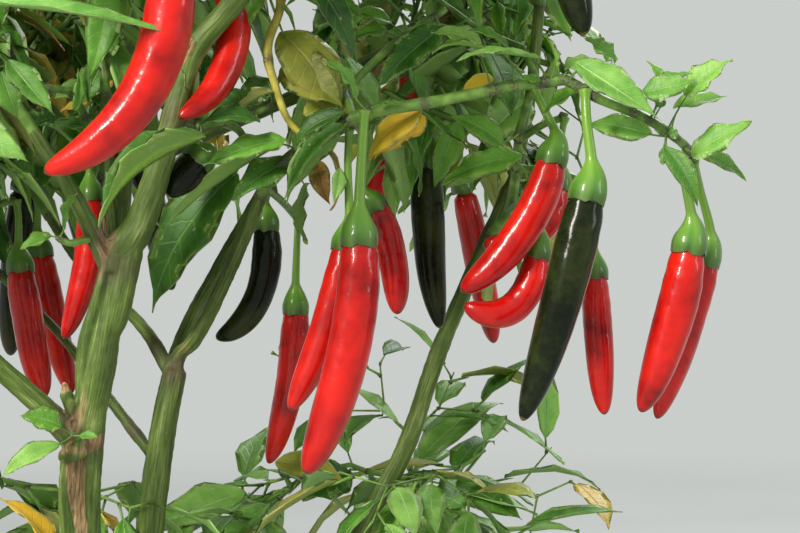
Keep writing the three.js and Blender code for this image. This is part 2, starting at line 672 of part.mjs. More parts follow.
// A fruit under a shoot, from the shoot's dealt numbers
function ruledFruit(tip, way, length, { longer, bend, hang, swing, curl }) {
  const out = leaning([0, 0, -1], ranging(fruitRule.lean, swing), 360 * hang);
  const root = add(tip.at, way, length * fruitRule.start);
  const neck = add(add(root, out, fruitRule.out), [0, 0, -stalkSize.length * ranging(fruitRule.stalk, curl)]);
  const end = add(neck, out, fruitSize.length * ranging(fruitRule.span, longer));
  const bow = [fruitRule.bow * (bend - 0.5), fruitRule.bow * (swing - 0.5), -fruitRule.sag];
  return { root, neck, tip: end, girth: fruitSize.girth * ranging(fruitRule.girth, swing), bow };
}

// Whether a fruit has room: its middle line is clear of the rest, and its sides stay in the mass's space
function fruitFits(fruit, line, name, others) {
  const spots = line.slice(2).map(({ at }) => at);
  const ways = [[1, 0, 0], [-1, 0, 0], [0, 1, 0], [0, -1, 0]];
  const around = spots.flatMap((at) => ways.map((way) => add(at, way, fruit.girth)));
  const apart = clear(spots, fruit.girth + 1, others) && clear(spots, fruit.girth + limbClearance, barriers);
  return apart && around.every((at) => inSpace(at, name));
}

// A mass's twigs, leaves and fruit by rule: a shoot forks in two at its end, each time across the fork
// before, with a leaf on either side just below the fork, and now and then a fruit hung there. One of the two
// goes on as the same twig and the other starts a new one
function grown(name, mass) {
  const random = seeded(mass.seed);
  const found = { twigs: [], leaves: [], fruits: [] };
  const shoots = [{ at: mass.tip, way: mass.way, turn: 360 * random(), level: 0 }];
  for (const tip of shoots) {
    const [longer, bend, hang, chance, swing, curl] = Array.from({ length: 6 }, random);
    const length = shoot.internode * shoot.shorter ** tip.level * ranging(shoot.vary, longer);
    const radius = shoot.radius * shoot.thinner ** tip.level;
    const homeward = unit(add(mass.middle, tip.at, -1));
    const way = fork.turns
      .map((turn) => unit(mix(tip.way, homeward, turn)))
      .find((tried) => {
        const spots = fork.tested.map((t) => add(tip.at, tried, length * t));
        return spots.every((at) => inSpace(at, name)) && clear(spots, radius + limbClearance, barriers);
      });
    if (!way) continue;
    const end = add(tip.at, way, length);
    const twig = tip.twig ?? { points: [tip.at], radius: [radius, radius] };
    if (!tip.twig) found.twigs.push(twig);
    twig.points.push(end);
    twig.radius[1] = radius * shoot.thinner;
    const last = tip.level === mass.levels;
    for (const [i, turn] of (last ? leafRule.lastTurns : leafRule.turns).entries()) {
      const dealt = Array.from({ length: 3 }, random);
      const leaf = ruledLeaf(tip, way, length, last, [turn, i], curl, dealt);
      const corners = leafCorners(leaf);
      const free = clear(corners, limbClearance, barriers) && clear(corners, leafClearance, found.fruits);
      if (free && corners.every((at) => inSpace(at, name))) found.leaves.push(leaf);
    }
    if (tip.level > 0 && chance < fruitRule.share) {
      const fruit = ruledFruit(tip, way, length, { longer, bend, hang, swing, curl });
      const line = traced(fruitPath(fruit), fruitRadius(fruit), 10);
      if (fruitFits(fruit, line, name, found.fruits)) found.fruits.push({ ...fruit, line });
    }
    if (last) continue;
    for (const side of [-1, 1]) {
      const spread = fork.spread * ranging(fork.vary, random());
      const next = unit(add(leaning(way, spread, tip.turn + 90 * side), [0, 0, fork.lift]));
      const turn = tip.turn + ranging(fork.turn, random());
      const goesOn = side < 0;
      const at = goesOn ? end : add(end, way, -shoot.overlap);
      shoots.push({ at, way: next, turn, level: tip.level + 1, twig: goesOn ? twig : undefined });
    }
  }
  return found;
}

// The point of a set of middle lines that is nearest to a place, a little inside their ends
function nearest(place, lines) {
  let best = null;
  for (const line of lines)
    for (let i = 1; i < line.length; i++) {
      const along = add(line[i].at, line[i - 1].at, -1);
      const share = dot(add(place, line[i - 1].at, -1), along) / dot(along, along);
      const at = add(line[i - 1].at, along, Math.min(0.85, Math.max(0.15, share)));
      if (!best || size(add(place, at, -1)) < size(add(place, best, -1))) best = at;
    }
  return best;
}

// A leaf as one folded blade of few faces that narrows to its root, sunk in the twig. A near leaf has its
// petiole apart from its blade; one of the ruled leaves narrows straight to its root, with a keel below
const nearLeaf = { sides: 4, shares: [0, 0.08, 0.5, 1] };
const plainLeaf = { sides: 3, shares: [0, 0.42, 1] };
function leafSolid({ root, base, tip, width, normal, fold }, near) {
  const { sides, shares } = near ? nearLeaf : plainLeaf;
  const last = shares.length - 1;
  const side = cross(normal, unit(add(tip, base, -1)));
  const length = size(add(tip, base, -1));
  const thick = Math.max(0.5, length * leafSize.thickShare * 0.5);
  const sign = (v) => (Math.abs(v) > 0.3 ? Math.sign(v) : 0);
  const round = new THREE.SphereGeometry(1, sides, last);
  const blade = shaped(near ? round : round.rotateY(-Math.PI / 2), (v) => {
    const ring = Math.round((Math.acos(Math.max(-1, Math.min(1, v.y))) / Math.PI) * last);
    if (ring === 0) return root;
    if (ring === last) return tip;
    const share = shares[ring];
    const wide = sign(v.x) * (near && ring === 1 ? 1 : width / 2);
    const arch = length * leafSize.arch * share * (1 - share);
    const lift = Math.abs(wide) * Math.sin(radians(fold)) + sign(v.z) * thick + arch;
    return add(add(mix(base, tip, share), side, wide * Math.cos(radians(fold))), normal, lift);
  });
  return solidOf(blade);
}

// A fruit with its stalk: near fruit has more sides and rings
const nearFruit = { sides: 6, rings: [0.18, 0.42, 0.66, 0.86, 1] };
const plainFruit = { sides: 5, rings: [0.35, 0.75, 1] };
function fruitSolid(fruit, near, wider = 0) {
  const radiusAt = fruitRadius(fruit);
  const { shoulder, cup } = fruitShares(fruit);
  const made = near ? nearFruit : plainFruit;
  const body = made.rings.map((s) => shoulder + (1 - shoulder) * s);
  const rings = [...(near ? [0, cup * 0.5] : [0]), cup, shoulder, ...body];
  return bar(fruitPath(fruit), (t) => radiusAt(t) + wider, made.sides, rings.length - 1, rings);
}

// A stalk's root is moved to just below its twig. One on a limb starts inside it and is cut clear
function seated(fruit) {
  const way = unit(add(fruit.neck, fruit.root, -1));
  const below = add(fruit.root, [0, way[1] * 0.6, way[2] * 0.8], shoot.radius * 0.8 + seatGap);
  return limbs[fruit.on] ? fruit : { ...fruit, root: below };
}

// Each mass's own stem, near twigs and near leaves come first, because no ruled twig may touch them
for (const [name, mass] of Object.entries(masses)) {
  const parent = limbs[mass.from] ?? masses[mass.from];
  let start = add(parent.tip, parent.way, seatGap);
  let way = parent.way;
  if (mass.at) {
    way = unit(add(mass.stem[0], mass.at, -1));
    const reach = Array.from({ length: 40 }, (_, i) => add(mass.at, way, i * 0.4));
    start = reach.find((p) => distance(p, parent.line) > seatGap + mass.radius[0] * 0.35);
  }
  const stem = [start, add(start, way, 3), ...mass.stem];
  mass.line = joints(stem, taper(...mass.radius));
  mass.tip = mass.line.at(-1).at;
  mass.way = unit(add(mass.tip, mass.line.at(-2).at, -1));
  mass.lines = [mass.line];
  mass.solids = [bar(stem, taper(...mass.radius), 5, stem.length - 1)];
  const join = (points, radius) => {
    mass.lines.push(joints(points, taper(...radius)));
    mass.solids.push(bar(points, taper(...radius), 4, points.length - 1));
  };
  for (const points of mass.twigs ?? []) join(points, twigSize.near);
  // the spurs that hold this mass's near fruit
  for (const { root } of Object.values(fruits).filter((fruit) => fruit.on === name)) {
    const from = nearest(root, mass.lines);
    if (size(add(from, root, -1)) > twigSize.shortest)
      join([from, add(mix(from, root, 0.5), [0, 0, 1]), root], twigSize.spur);
  }
  for (const [base, tip, width, face, fold] of mass.leaves) {
    const root = nearest(base, mass.lines);
    mass.solids.push(leafSolid({ root, base, tip, width, normal: faceNormal(base, tip, face), fold }, true));
    const middle = { at: mix(base, tip, 0.5), radius: width * 0.4 };
    barriers.push({ line: [{ at: base, radius: 1 }, middle, { at: tip, radius: 1 }] });
  }
  for (const line of mass.lines) barriers.push({ line });
}

const finishedMasses = {};
for (const [name, mass] of Object.entries(masses)) {
  if (mass.levels) {
    const found = grown(name, mass);
    for (const { points, radius } of found.twigs)
      mass.solids.push(bar(points, taper(...radius), 3, points.length - 1));
    for (const leaf of found.leaves) mass.solids.push(leafSolid(leaf, false));
    for (const fruit of found.fruits) mass.solids.push(fruitSolid(fruit, false));
  }
  finishedMasses[name] = wasm.Manifold.union(mass.solids);
}

// The near fruit, and what meets cut clear: a mass from the limbs and from the fruit that it holds
const finishedFruits = {};
for (const [name, fruit] of Object.entries(fruits)) {
  let solid = fruitSolid(seated(fruit), true);
  if (limbs[fruit.on]) solid = solid.subtract(finishedLimbs[fruit.on].wide);
  finishedFruits[name] = tidied(solid);
}
for (const [name, joined] of Object.entries(finishedMasses)) {
  let solid = joined;
  for (const limb of Object.values(finishedLimbs)) solid = solid.subtract(limb.wide);
  for (const fruit of Object.values(fruits).filter(({ on }) => on === name))
    solid = solid.subtract(fruitSolid(seated(fruit), true, seatGap));
  finishedMasses[name] = tidied(solid);
}

// Each finish: its colour and its roughness
const finishes = {
  bark: [0x5f7a3a, 0.62],
  foliage: [0x3f7a2a, 0.5],
  redFruit: [0xc81410, 0.25],
  greenFruit: [0x1f2d16, 0.25],
};

function piece(name, solid, [color, roughness]) {
  const { vertProperties, triVerts } = solid.getMesh();
  const geometry = new THREE.BufferGeometry();
  geometry.setAttribute("position", new THREE.BufferAttribute(vertProperties, 3));
  geometry.setIndex(new THREE.BufferAttribute(triVerts, 1));
  geometry.computeVertexNormals();
  const material = new THREE.MeshStandardMaterial({ color, roughness, metalness: 0 });
  const mesh = new THREE.Mesh(geometry, material);
  mesh.name = name;
  return mesh;
}

const plant = new THREE.Group();
for (const [name, { solid }] of Object.entries(finishedLimbs)) plant.add(piece(name, solid, finishes.bark));
for (const [name, solid] of Object.entries(finishedMasses)) plant.add(piece(name, solid, finishes.foliage));
for (const [name, solid] of Object.entries(finishedFruits))
  plant.add(piece(name, solid, name.startsWith("red") ? finishes.redFruit : finishes.greenFruit));

export default plant;
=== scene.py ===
import math
from functools import partial

import bpy
import numpy as np
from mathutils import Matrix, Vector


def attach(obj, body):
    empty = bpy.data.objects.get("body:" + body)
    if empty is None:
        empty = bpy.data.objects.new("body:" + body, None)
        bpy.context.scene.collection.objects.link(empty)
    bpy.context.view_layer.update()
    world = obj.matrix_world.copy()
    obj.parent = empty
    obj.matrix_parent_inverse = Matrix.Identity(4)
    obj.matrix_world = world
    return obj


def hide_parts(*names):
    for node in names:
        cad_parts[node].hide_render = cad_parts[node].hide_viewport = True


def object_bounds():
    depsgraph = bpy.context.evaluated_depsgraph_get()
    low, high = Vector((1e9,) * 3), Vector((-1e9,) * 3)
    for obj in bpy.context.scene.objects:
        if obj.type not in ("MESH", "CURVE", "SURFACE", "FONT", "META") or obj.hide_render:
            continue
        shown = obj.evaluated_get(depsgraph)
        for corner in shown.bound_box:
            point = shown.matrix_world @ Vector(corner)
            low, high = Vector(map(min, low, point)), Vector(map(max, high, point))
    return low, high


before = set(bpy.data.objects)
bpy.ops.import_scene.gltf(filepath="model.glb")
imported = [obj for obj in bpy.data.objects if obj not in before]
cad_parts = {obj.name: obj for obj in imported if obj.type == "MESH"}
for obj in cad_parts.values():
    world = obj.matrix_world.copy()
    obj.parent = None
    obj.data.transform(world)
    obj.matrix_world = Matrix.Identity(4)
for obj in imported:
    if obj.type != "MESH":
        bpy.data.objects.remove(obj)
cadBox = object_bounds()
cadLow, cadHigh = [np.array(corner) * 1000 for corner in cadBox]
metres = 0.001 # one millimetre


# Vectors, lines and chance

def unit(v):
    # v / |v|
    return v / np.maximum(np.linalg.norm(v, axis=-1, keepdims=True), 1e-9)


def hump(x, width, power=2):
    # exp(-(x / width)^power)
    return np.exp(-((x / width) ** power))


def gapTo(place, points):
    # how far each point is from a place
    return np.linalg.norm(points - place, axis=1)


def arc(start, pull, end, t):
    # a parabola: start (1 - t)^2 + 2 pull t (1 - t) + end t^2
    return start * (1 - t) ** 2 + 2 * pull * t * (1 - t) + end * t**2


def seeded(seed):
    # numbers from 0 to 1, the same every time: state = state * 1664525 + 1013904223, kept to 32 bits
    state = [seed]

    def draw():
        state[0] = (state[0] * 1664525 + 1013904223) % 4294967296
        return state[0] / 4294967296

    return draw


def ranging(pair, share):
    # the least size, and share of how much more there can be
    return pair[0] + pair[1] * share


def across(way):
    # two directions across a line, the first as near to up as it can be
    up = np.array([1.0, 0, 0]) if abs(way[2]) > 0.99 else np.array([0, 0, 1.0])
    first = unit(up - way * (up @ way))
    return first, np.cross(way, first)


def leaning(way, angle, turn):
    # way turned by angle towards the side that turn gives: way cos(angle) + side sin(angle)
    first, second = across(way)
    angle, turn = math.radians(angle), math.radians(turn)
    side = first * math.cos(turn) + second * math.sin(turn)
    return unit(way * math.cos(angle) + side * math.sin(angle))


def smoothLine(points, count):
    # a centripetal Catmull-Rom curve through the points, cut into count equal lengths: each span is a cubic
    # whose end slopes come from its neighbours, spaced by the root of their distances
    p = np.array(points, float)
    p = np.vstack([2 * p[0] - p[1], p, 2 * p[-1] - p[-2]])
    gap = np.sqrt(steps(p))[:, None]
    before, here, after, beyond = p[:-3], p[1:-2], p[2:-1], p[3:]
    d0, d1, d2 = gap[:-2], gap[1:-1], gap[2:]
    slopeHere = d1 * ((here - before) / d0 - (after - before) / (d0 + d1) + (after - here) / d1)
    slopeAfter = d1 * ((after - here) / d1 - (beyond - here) / (d1 + d2) + (beyond - after) / d2)
    t = np.linspace(0, 1, 24, endpoint=False)[None, :, None]
    here, after, slopeHere, slopeAfter = [v[:, None] for v in (here, after, slopeHere, slopeAfter)]
    square = -3 * here + 3 * after - 2 * slopeHere - slopeAfter
    cube = 2 * here - 2 * after + slopeHere + slopeAfter
    dense = (here + slopeHere * t + square * t**2 + cube * t**3).reshape(-1, 3)
    return evenly(np.vstack([dense, p[-2]]), np.linspace(0, 1, count + 1))


def steps(line):
    # the lengths between a line's points
    return np.linalg.norm(np.diff(line, axis=0), axis=1)


def evenly(line, shares):
    # the points of a line at shares of its whole length
    along = np.concatenate([[0], np.cumsum(steps(line))])
    return np.stack([np.interp(np.asarray(shares) * along[-1], along, line[:, k]) for k in range(3)], -1)


def segmentsOf(lines):
    # every straight length of some lines, each line being its points and its radius at each
    starts = np.vstack([p[:-1] for p, r in lines])
    ways = np.vstack([np.diff(p, axis=0) for p, r in lines])
    radius = np.concatenate([r[:-1] for p, r in lines])
    growth = np.concatenate([np.diff(r) for p, r in lines])
    return starts, ways, radius, growth


def distances(points, segments, ends=(0, 1)):
    # for each point and each length: how far the point is from the round surface, and the nearest place
    starts, ways, radius, growth = segments
    points = np.atleast_2d(points)[:, None]
    share = ((points - starts) * ways).sum(-1) / np.maximum((ways * ways).sum(-1), 1e-9)
    share = np.clip(share, *ends)
    place = starts + ways * share[..., None]
    return np.linalg.norm(points - place, axis=-1) - (radius + growth * share), place


def clear(points, room, segments):
    # whether every point is further than room from every surface
    return segments is None or bool((distances(points, segments)[0] > room).all())


def inBox(points, margin):
    # whether points stay inside the CAD model's box
    return bool(((points > cadLow + margin) & (points < cadHigh - margin)).all())


def nearest(place, segments, ends=(0.15, 0.85)):
    # the spot on the middle lines that is nearest to a place, a little inside their ends
    starts, ways, radius, growth = segments
    found, spots = distances(place, (starts, ways, radius * 0, growth * 0), ends)
    return spots[0, found[0].argmin()]


# Meshes

def turnsOf(sides):
    # the angles of a ring's points
    return np.linspace(0, 2 * np.pi, sides, endpoint=False)


def makePiece(name, points, faces, material, nodes, uv=None, pointValues=None, faceValues=None):
    # points in millimetres become a smooth-shaded mesh in metres, with its own numbers for the material
    points = np.asarray(points, float)
    mesh = bpy.data.meshes.new(name)
    mesh.vertices.add(len(points))
    mesh.vertices.foreach_set("co", (points * metres).astype(np.float32).ravel())
    corners = np.concatenate([f.ravel() for f in faces]).astype(np.int32)
    counts = np.concatenate([np.full(len(f), f.shape[1]) for f in faces])
    mesh.loops.add(len(corners))
    mesh.loops.foreach_set("vertex_index", corners)
    mesh.polygons.add(len(counts))
    mesh.polygons.foreach_set("loop_start", (np.cumsum(counts) - counts).astype(np.int32))
    mesh.update(calc_edges=True)
    if uv is not None:
        layer = mesh.uv_layers.new(name="leafUv")
        layer.data.foreach_set("uv", uv[corners].astype(np.float32).ravel())
    for values, domain in ((pointValues, "POINT"), (faceValues, "FACE")):
        for key, value in (values or {}).items():
            kind, field = ("FLOAT_VECTOR", "vector") if value.ndim == 2 else ("FLOAT", "value")
            layer = mesh.attributes.new(key, kind, domain)
            layer.data.foreach_set(field, value.astype(np.float32).ravel())
    mesh.shade_smooth()
    return dress(bpy.data.objects.new(name, mesh), material, nodes)


def dress(piece, material, nodes):
    # a finished piece gets its material, hangs on the root body and hides the CAD nodes that it stands for
    if piece.name not in bpy.context.scene.collection.objects:
        bpy.context.scene.collection.objects.link(piece)
    piece.data.materials.clear()
    piece.data.materials.append(material)
    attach(piece, "root")
    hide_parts(*nodes)
    return piece


def joined(parts):
    # several shapes as one: their points, their faces and whatever numbers their points have
    points, faces, *values = zip(*parts)
    offsets = np.cumsum([0] + [len(p) for p in points])
    faces = [f + offset for shape, offset in zip(faces, offsets) for f in shape]
    return np.vstack(points), faces, *[np.concatenate(v) for v in values]


def manyTubes(lines, radii, sides, slide=None):
    # tubes x rings x 3 lines and tubes x rings (x sides) radii, each tube closed by a pole at either end:
    # point = line(s) + radius(s, angle) (first cos(angle) + second sin(angle)) + way(s) slide(s, angle)
    lines, radii = np.asarray(lines, float), np.asarray(radii, float)
    count, rings = lines.shape[:2]
    way = unit(np.gradient(lines, axis=1))
    first = np.empty_like(way)
    first[:, 0] = np.where(np.abs(way[:, 0, 2:3]) > 0.8, [[1.0, 0.2, 0]], [[0, 0, 1.0]])
    for ring in range(rings): # carried from ring to ring without twist
        before = first[:, max(0, ring - 1)]
        first[:, ring] = unit(before - way[:, ring] * (before * way[:, ring]).sum(-1, keepdims=True))
    second = np.cross(way, first)
    angle = turnsOf(sides)
    round = first[:, :, None] * np.cos(angle)[:, None] + second[:, :, None] * np.sin(angle)[:, None]
    if radii.ndim == 2:
        radii = radii[:, :, None]
    skin = lines[:, :, None] + round * radii[..., None]
    if slide is not None:
        skin = skin + way[:, :, None] * slide[..., None]
    points = np.concatenate([skin.reshape(count, -1, 3), lines[:, :1], lines[:, -1:]], axis=1)
    j = np.arange(sides)
    k = (j + 1) % sides
    i = np.arange(rings - 1)[:, None] * sides
    quads = np.stack([i + j, i + k, i + sides + k, i + sides + j], -1).reshape(-1, 4)
    end = (rings - 1) * sides
    caps = np.concatenate([
        np.stack([np.full(sides, rings * sides), k, j], -1),
        np.stack([np.full(sides, rings * sides + 1), end + j, end + k], -1),
    ])
    step = (np.arange(count) * points.shape[1])[:, None, None]
    return points.reshape(-1, 3), [(quads + step).reshape(-1, 4), (caps + step).reshape(-1, 3)]


def oneTube(line, radius, sides, slide=None):
    # a single tube along a line
    return manyTubes(line[None], radius[None], sides, None if slide is None else slide[None])


def ringValues(values, sides):
    # a number for each ring of each tube becomes one for each of its points, poles too
    values = np.asarray(values, float)
    around = np.repeat(values, sides, axis=1)
    return np.concatenate([around, values[:, :1], values[:, -1:]], axis=1).ravel()


def waves(points, size, seed, count=7):
    # a soft bump pattern about size millimetres across: the mean of sine waves that run in dealt directions
    deal = np.random.default_rng(seed)
    ways = unit(deal.normal(size=(count, 3))) * (2 * np.pi / size) * deal.uniform(0.6, 1.5, (count, 1))
    return np.sin(points @ ways.T + deal.uniform(0, 6.3, count)).mean(-1) * 1.6


# Materials

def linear(hexColour):
    # an sRGB hex value turned to the linear colour that shaders take
    parts = [int(hexColour[i:i + 2], 16) / 255 for i in (1, 3, 5)]
    return tuple(((v + 0.055) / 1.055) ** 2.4 if v > 0.04045 else v / 12.92 for v in parts) + (1.0,)


soft = {"interpolation_type": "SMOOTHSTEP"}
colours = {"data_type": "RGBA"}


def wire(tree, node, links):
    # feeds a node's inputs, each from a socket or from a node, whose first live output is then taken
    for key, source in links.items():
        if isinstance(source, bpy.types.Node):
            source = next(output for output in source.outputs if output.enabled)
        tree.links.new(source, node.inputs[key])


def addNode(tree, kind, settings={}, links={}):
    # adds a node: settings are its properties, its inputs' own values or its ramp's stops, and links are what
    # feeds its inputs. Some inputs go by number: 0, 1 and 2 are a Math node's numbers, 1 to 4 a MapRange's
    # from low, from high, to low and to high, and 0, 6 and 7 a Mix's share and its two colours
    node = tree.nodes.new("ShaderNode" + kind)
    for key, value in settings.items():
        if key == "stops":
            ramp = node.color_ramp.elements
            while len(ramp) < len(value):
                ramp.new(0.5)
            for stop, (place, colour) in zip(ramp, value):
                stop.position = place
                stop.color = linear(colour)
        elif isinstance(key, str) and hasattr(node, key):
            setattr(node, key, value)
        else:
            node.inputs[key].default_value = linear(value) if isinstance(value, str) else value
    wire(tree, node, links)
    return node


def newMaterial(name, settings):
    # a material with one shader, whose own sockets take what is the same all over the surface. With it come
    # what adds a node to it, what feeds its shader, and where on the piece a spot lies
    material = bpy.data.materials.new(name)
    material.use_nodes = True
    tree = material.node_tree
    tree.nodes.clear()
    shader = addNode(tree, "BsdfPrincipled", settings)
    addNode(tree, "OutputMaterial", links={"Surface": shader})
    place = addNode(tree, "TexCoord").outputs["Object"]
    return material, partial(addNode, tree), partial(wire, tree, shader), place

# The plant in millimetres, as in the CAD model: its limbs, its near fruit and its masses of foliage

# Each limb: its middle line, its radius at either end, and the limb whose tip it carries on from
limbRows = {
    "trunk": ([[0, 0, -4], [1, 1, 35], [-1, 1, 72], [0, 0, 108]], [9.2, 7.6]),
    "left_stem": (
        [[0, 0, 90], [-3, -20, 128], [-8, -48, 175], [-8, -61, 207], [-6, -66, 236], [-1, -69, 262],
        [6, -70, 300]], [6.8, 5.6],
    ),
    "middle_stem": (
        [[1, 1, 94], [6, -16, 145], [12, -25, 200], [16, -22, 235], [21, -20, 261]], [5.6, 4.8],
    ),
    "leader": (
        [[-10, 10, 150], [-19, 20, 213], [-13, 20, 256], [-7, 20, 300], [-2, 16, 350], [2, 14, 398]],
        [6.2, 2.6], "trunk",
    ),
    "right_stem": (
        [[1, 2, 84], [42, 16, 130], [84, 26, 185], [109, 30, 232], [119, 30, 262], [149, 34, 331]], [5.4, 3],
    ),
    "left_back_stem": (
        [[-1, 2, 80], [-40, 22, 138], [-84, 42, 205], [-108, 52, 270], [-114, 52, 312]], [5.2, 2.7],
    ),
    "back_stem": ([[0, 2, 88], [-14, 42, 145], [-32, 88, 215], [-27, 112, 280], [-28, 118, 312]], [5, 2.7]),
    "right_back_stem": (
        [[1, 2, 78], [-3, 40, 130], [-2, 84, 205], [8, 96, 262], [26, 104, 300], [45, 110, 334]], [5, 2.7],
    ),
    "upper_stem": (
        [[12, -71, 311], [18, -72, 325], [27, -74, 354], [33, -75, 374], [46, -76, 390], [56, -80, 404]],
        [4.3, 4.1], "left_stem",
    ),
    "left_arm": ([[5, -70, 296], [-3, -73, 314], [-12, -76, 331], [-22, -78, 347]], [2.9, 2.3]),
    "upright_arm": ([[5, -68, 294], [3, -62, 318], [1, -57, 342], [-1, -52, 364]], [2.2, 1.8]),
    "left_side_stem": (
        [[-6, -66, 232], [-15, -69, 245.5], [-34, -75, 264.5], [-54, -79, 283.5], [-80, -78, 318]],
        [4.3, 2.8],
    ),
    "middle_right_arm": (
        [[27, -24, 271], [33, -28, 280], [47, -40, 308], [56, -50, 328]], [3, 2.5], "middle_stem",
    ),
    "middle_left_arm": (
        [[20, -20, 257], [11, -15, 273], [0, -6, 284], [-18, 6, 300], [-34, 12, 322]], [2.7, 2],
    ),
    "left_thin_stem": ([[15, -22, 226], [-10, -4, 254], [-28, 14, 273], [-56, 28, 298]], [2.3, 1.8]),
    "right_top_arm": ([[153, 24, 348], [156, 8, 368], [158, -14, 402]], [2.8, 2.2], "right_stem"),
    "cut_branch": ([[-4, 18, 338], [20, 19, 349], [83, 20, 376], [125, 20, 400]], [3.4, 2.7]),
    "low_right_stem": ([[0, 1, 62], [32, 22, 92], [60, 40, 128], [74, 48, 152]], [3.6, 2.3]),
    "low_left_stem": ([[0, 0, 66], [-22, -14, 100], [-36, -26, 134], [-42, -32, 154]], [3.4, 2.2]),
}
limbs = {name: dict(zip(("path", "radius", "follows"), row)) for name, row in limbRows.items()}

# Each near fruit: the limb or mass that it hangs on, the root and neck of its stalk, its tip, its half width,
# how its middle is bowed aside, and how blunt its end is
fruitRows = {
    "red_fruit_front": (
        "top_front", [42, -138, 424], [35, -152, 397], [-5, -152, 329], 6.9, [10.5, 0, -9], 3,
    ),
    "red_fruit_upper": (
        "top_front", [52, -64, 423], [43.5, -60, 404], [29, -83, 351], 6.2, [8.5, 2, -6], 3,
    ),
    "red_fruit_centre": (
        "right_spray", [93, -78, 354], [91, -79, 310], [72.5, -77, 228], 7.5, [5, -1, 0], 6,
    ),
    "red_fruit_inner": ("right_spray", [87, -60, 349], [86, -58, 308], [66, -60, 249], 6.2, [3, 0, 0], 4),
    "red_fruit_behind": ("right_spray", [93, -28, 352], [95, -20, 323], [104, -16, 282], 5.6, [2, 0, 4], 5),
    "green_fruit_behind": (
        "right_crown", [114, 2, 362], [116, 5, 341], [120.5, 5, 276], 6.6, [-2, 0, 0], 3,
    ),
    "red_fruit_slant": (
        "right_crown", [154, -42, 364], [160, -50, 339.5], [127, -52, 291], 6.6, [5, 0, -3], 5,
    ),
    "red_fruit_slant_far": (
        "right_crown", [167, -18, 356], [164.5, -20, 331], [136, -26, 308], 5.8, [6, 0, -6], 5,
    ),
    "red_fruit_hooked": (
        "right_crown", [153, -24, 330], [155, -43, 305], [128, -50, 286], 5.8, [4.5, 0, -10.5], 4,
    ),
    "green_fruit_centre": (
        "far_right_spray", [169, -79, 361], [169.5, -83, 325], [147, -83, 247], 7.6, [1.5, -1, 0], 3,
    ),
    "red_fruit_far": (
        "right_crown", [180, -6, 330], [178.8, -12, 298], [182.3, -14, 244], 5.7, [-0.3, 0, 0], 4,
    ),
    "red_fruit_right": (
        "far_right_spray", [204, -66, 338], [208, -58, 307.6], [191, -56, 248], 7.2, [2, 0, 0], 3.5,
    ),
    "red_fruit_right_far": (
        "far_right_spray", [210, -55, 338], [217, -38, 303], [199.5, -34, 244], 6.3, [0.5, 0, 0], 3.5,
    ),
    "green_fruit_top": ("right_top", [158, -76, 470], [160, -84, 440], [168, -86, 379], 7, [-2, 0, 0], 5),
    "red_fruit_left_far": ("left_inner", [-45, 12, 326], [-43, 10, 300], [-33, 6, 249], 6.2, [-1, 0, 0], 5),
    "red_fruit_left": ("left_spray", [-8, -50, 352], [-7, -46, 326], [-16, -50, 274], 5.2, [3, 0, -1], 4),
    "red_fruit_edge": (
        "left_side_stem", [-72, -78, 306.5], [-70, -71, 294], [-38, -62, 250], 6, [2, 0, -3], 4,
    ),
    "red_fruit_left_back": (
        "inner_crown", [-42, 36, 330], [-40, 36, 306], [-27, 34, 249], 6, [-1, 0, 0], 4,
    ),
    "red_fruit_top_far": ("cut_branch", [107, 20, 389], [109, 25, 378], [113, 24, 332], 6, [1, 0, 0], 4),
    "red_fruit_low": ("right_spray", [66, -4, 318], [64, 18, 284], [53, 22, 222], 6, [3, 0, 0], 4),
    "green_fruit_curved": (
        "right_spray", [58, -38, 334], [55, -22, 316], [36, -20, 273], 5.6, [6, 0, -7], 5,
    ),
    "green_fruit_small": ("inner_spray", [31, -62, 347], [31, -61, 338], [30, -64, 321], 6.4, [0, 0, 0], 6),
}
fruitFields = ("on", "root", "neck", "tip", "girth", "bow", "blunt")
fruits = {name: dict(zip(fruitFields, row)) for name, row in fruitRows.items()}

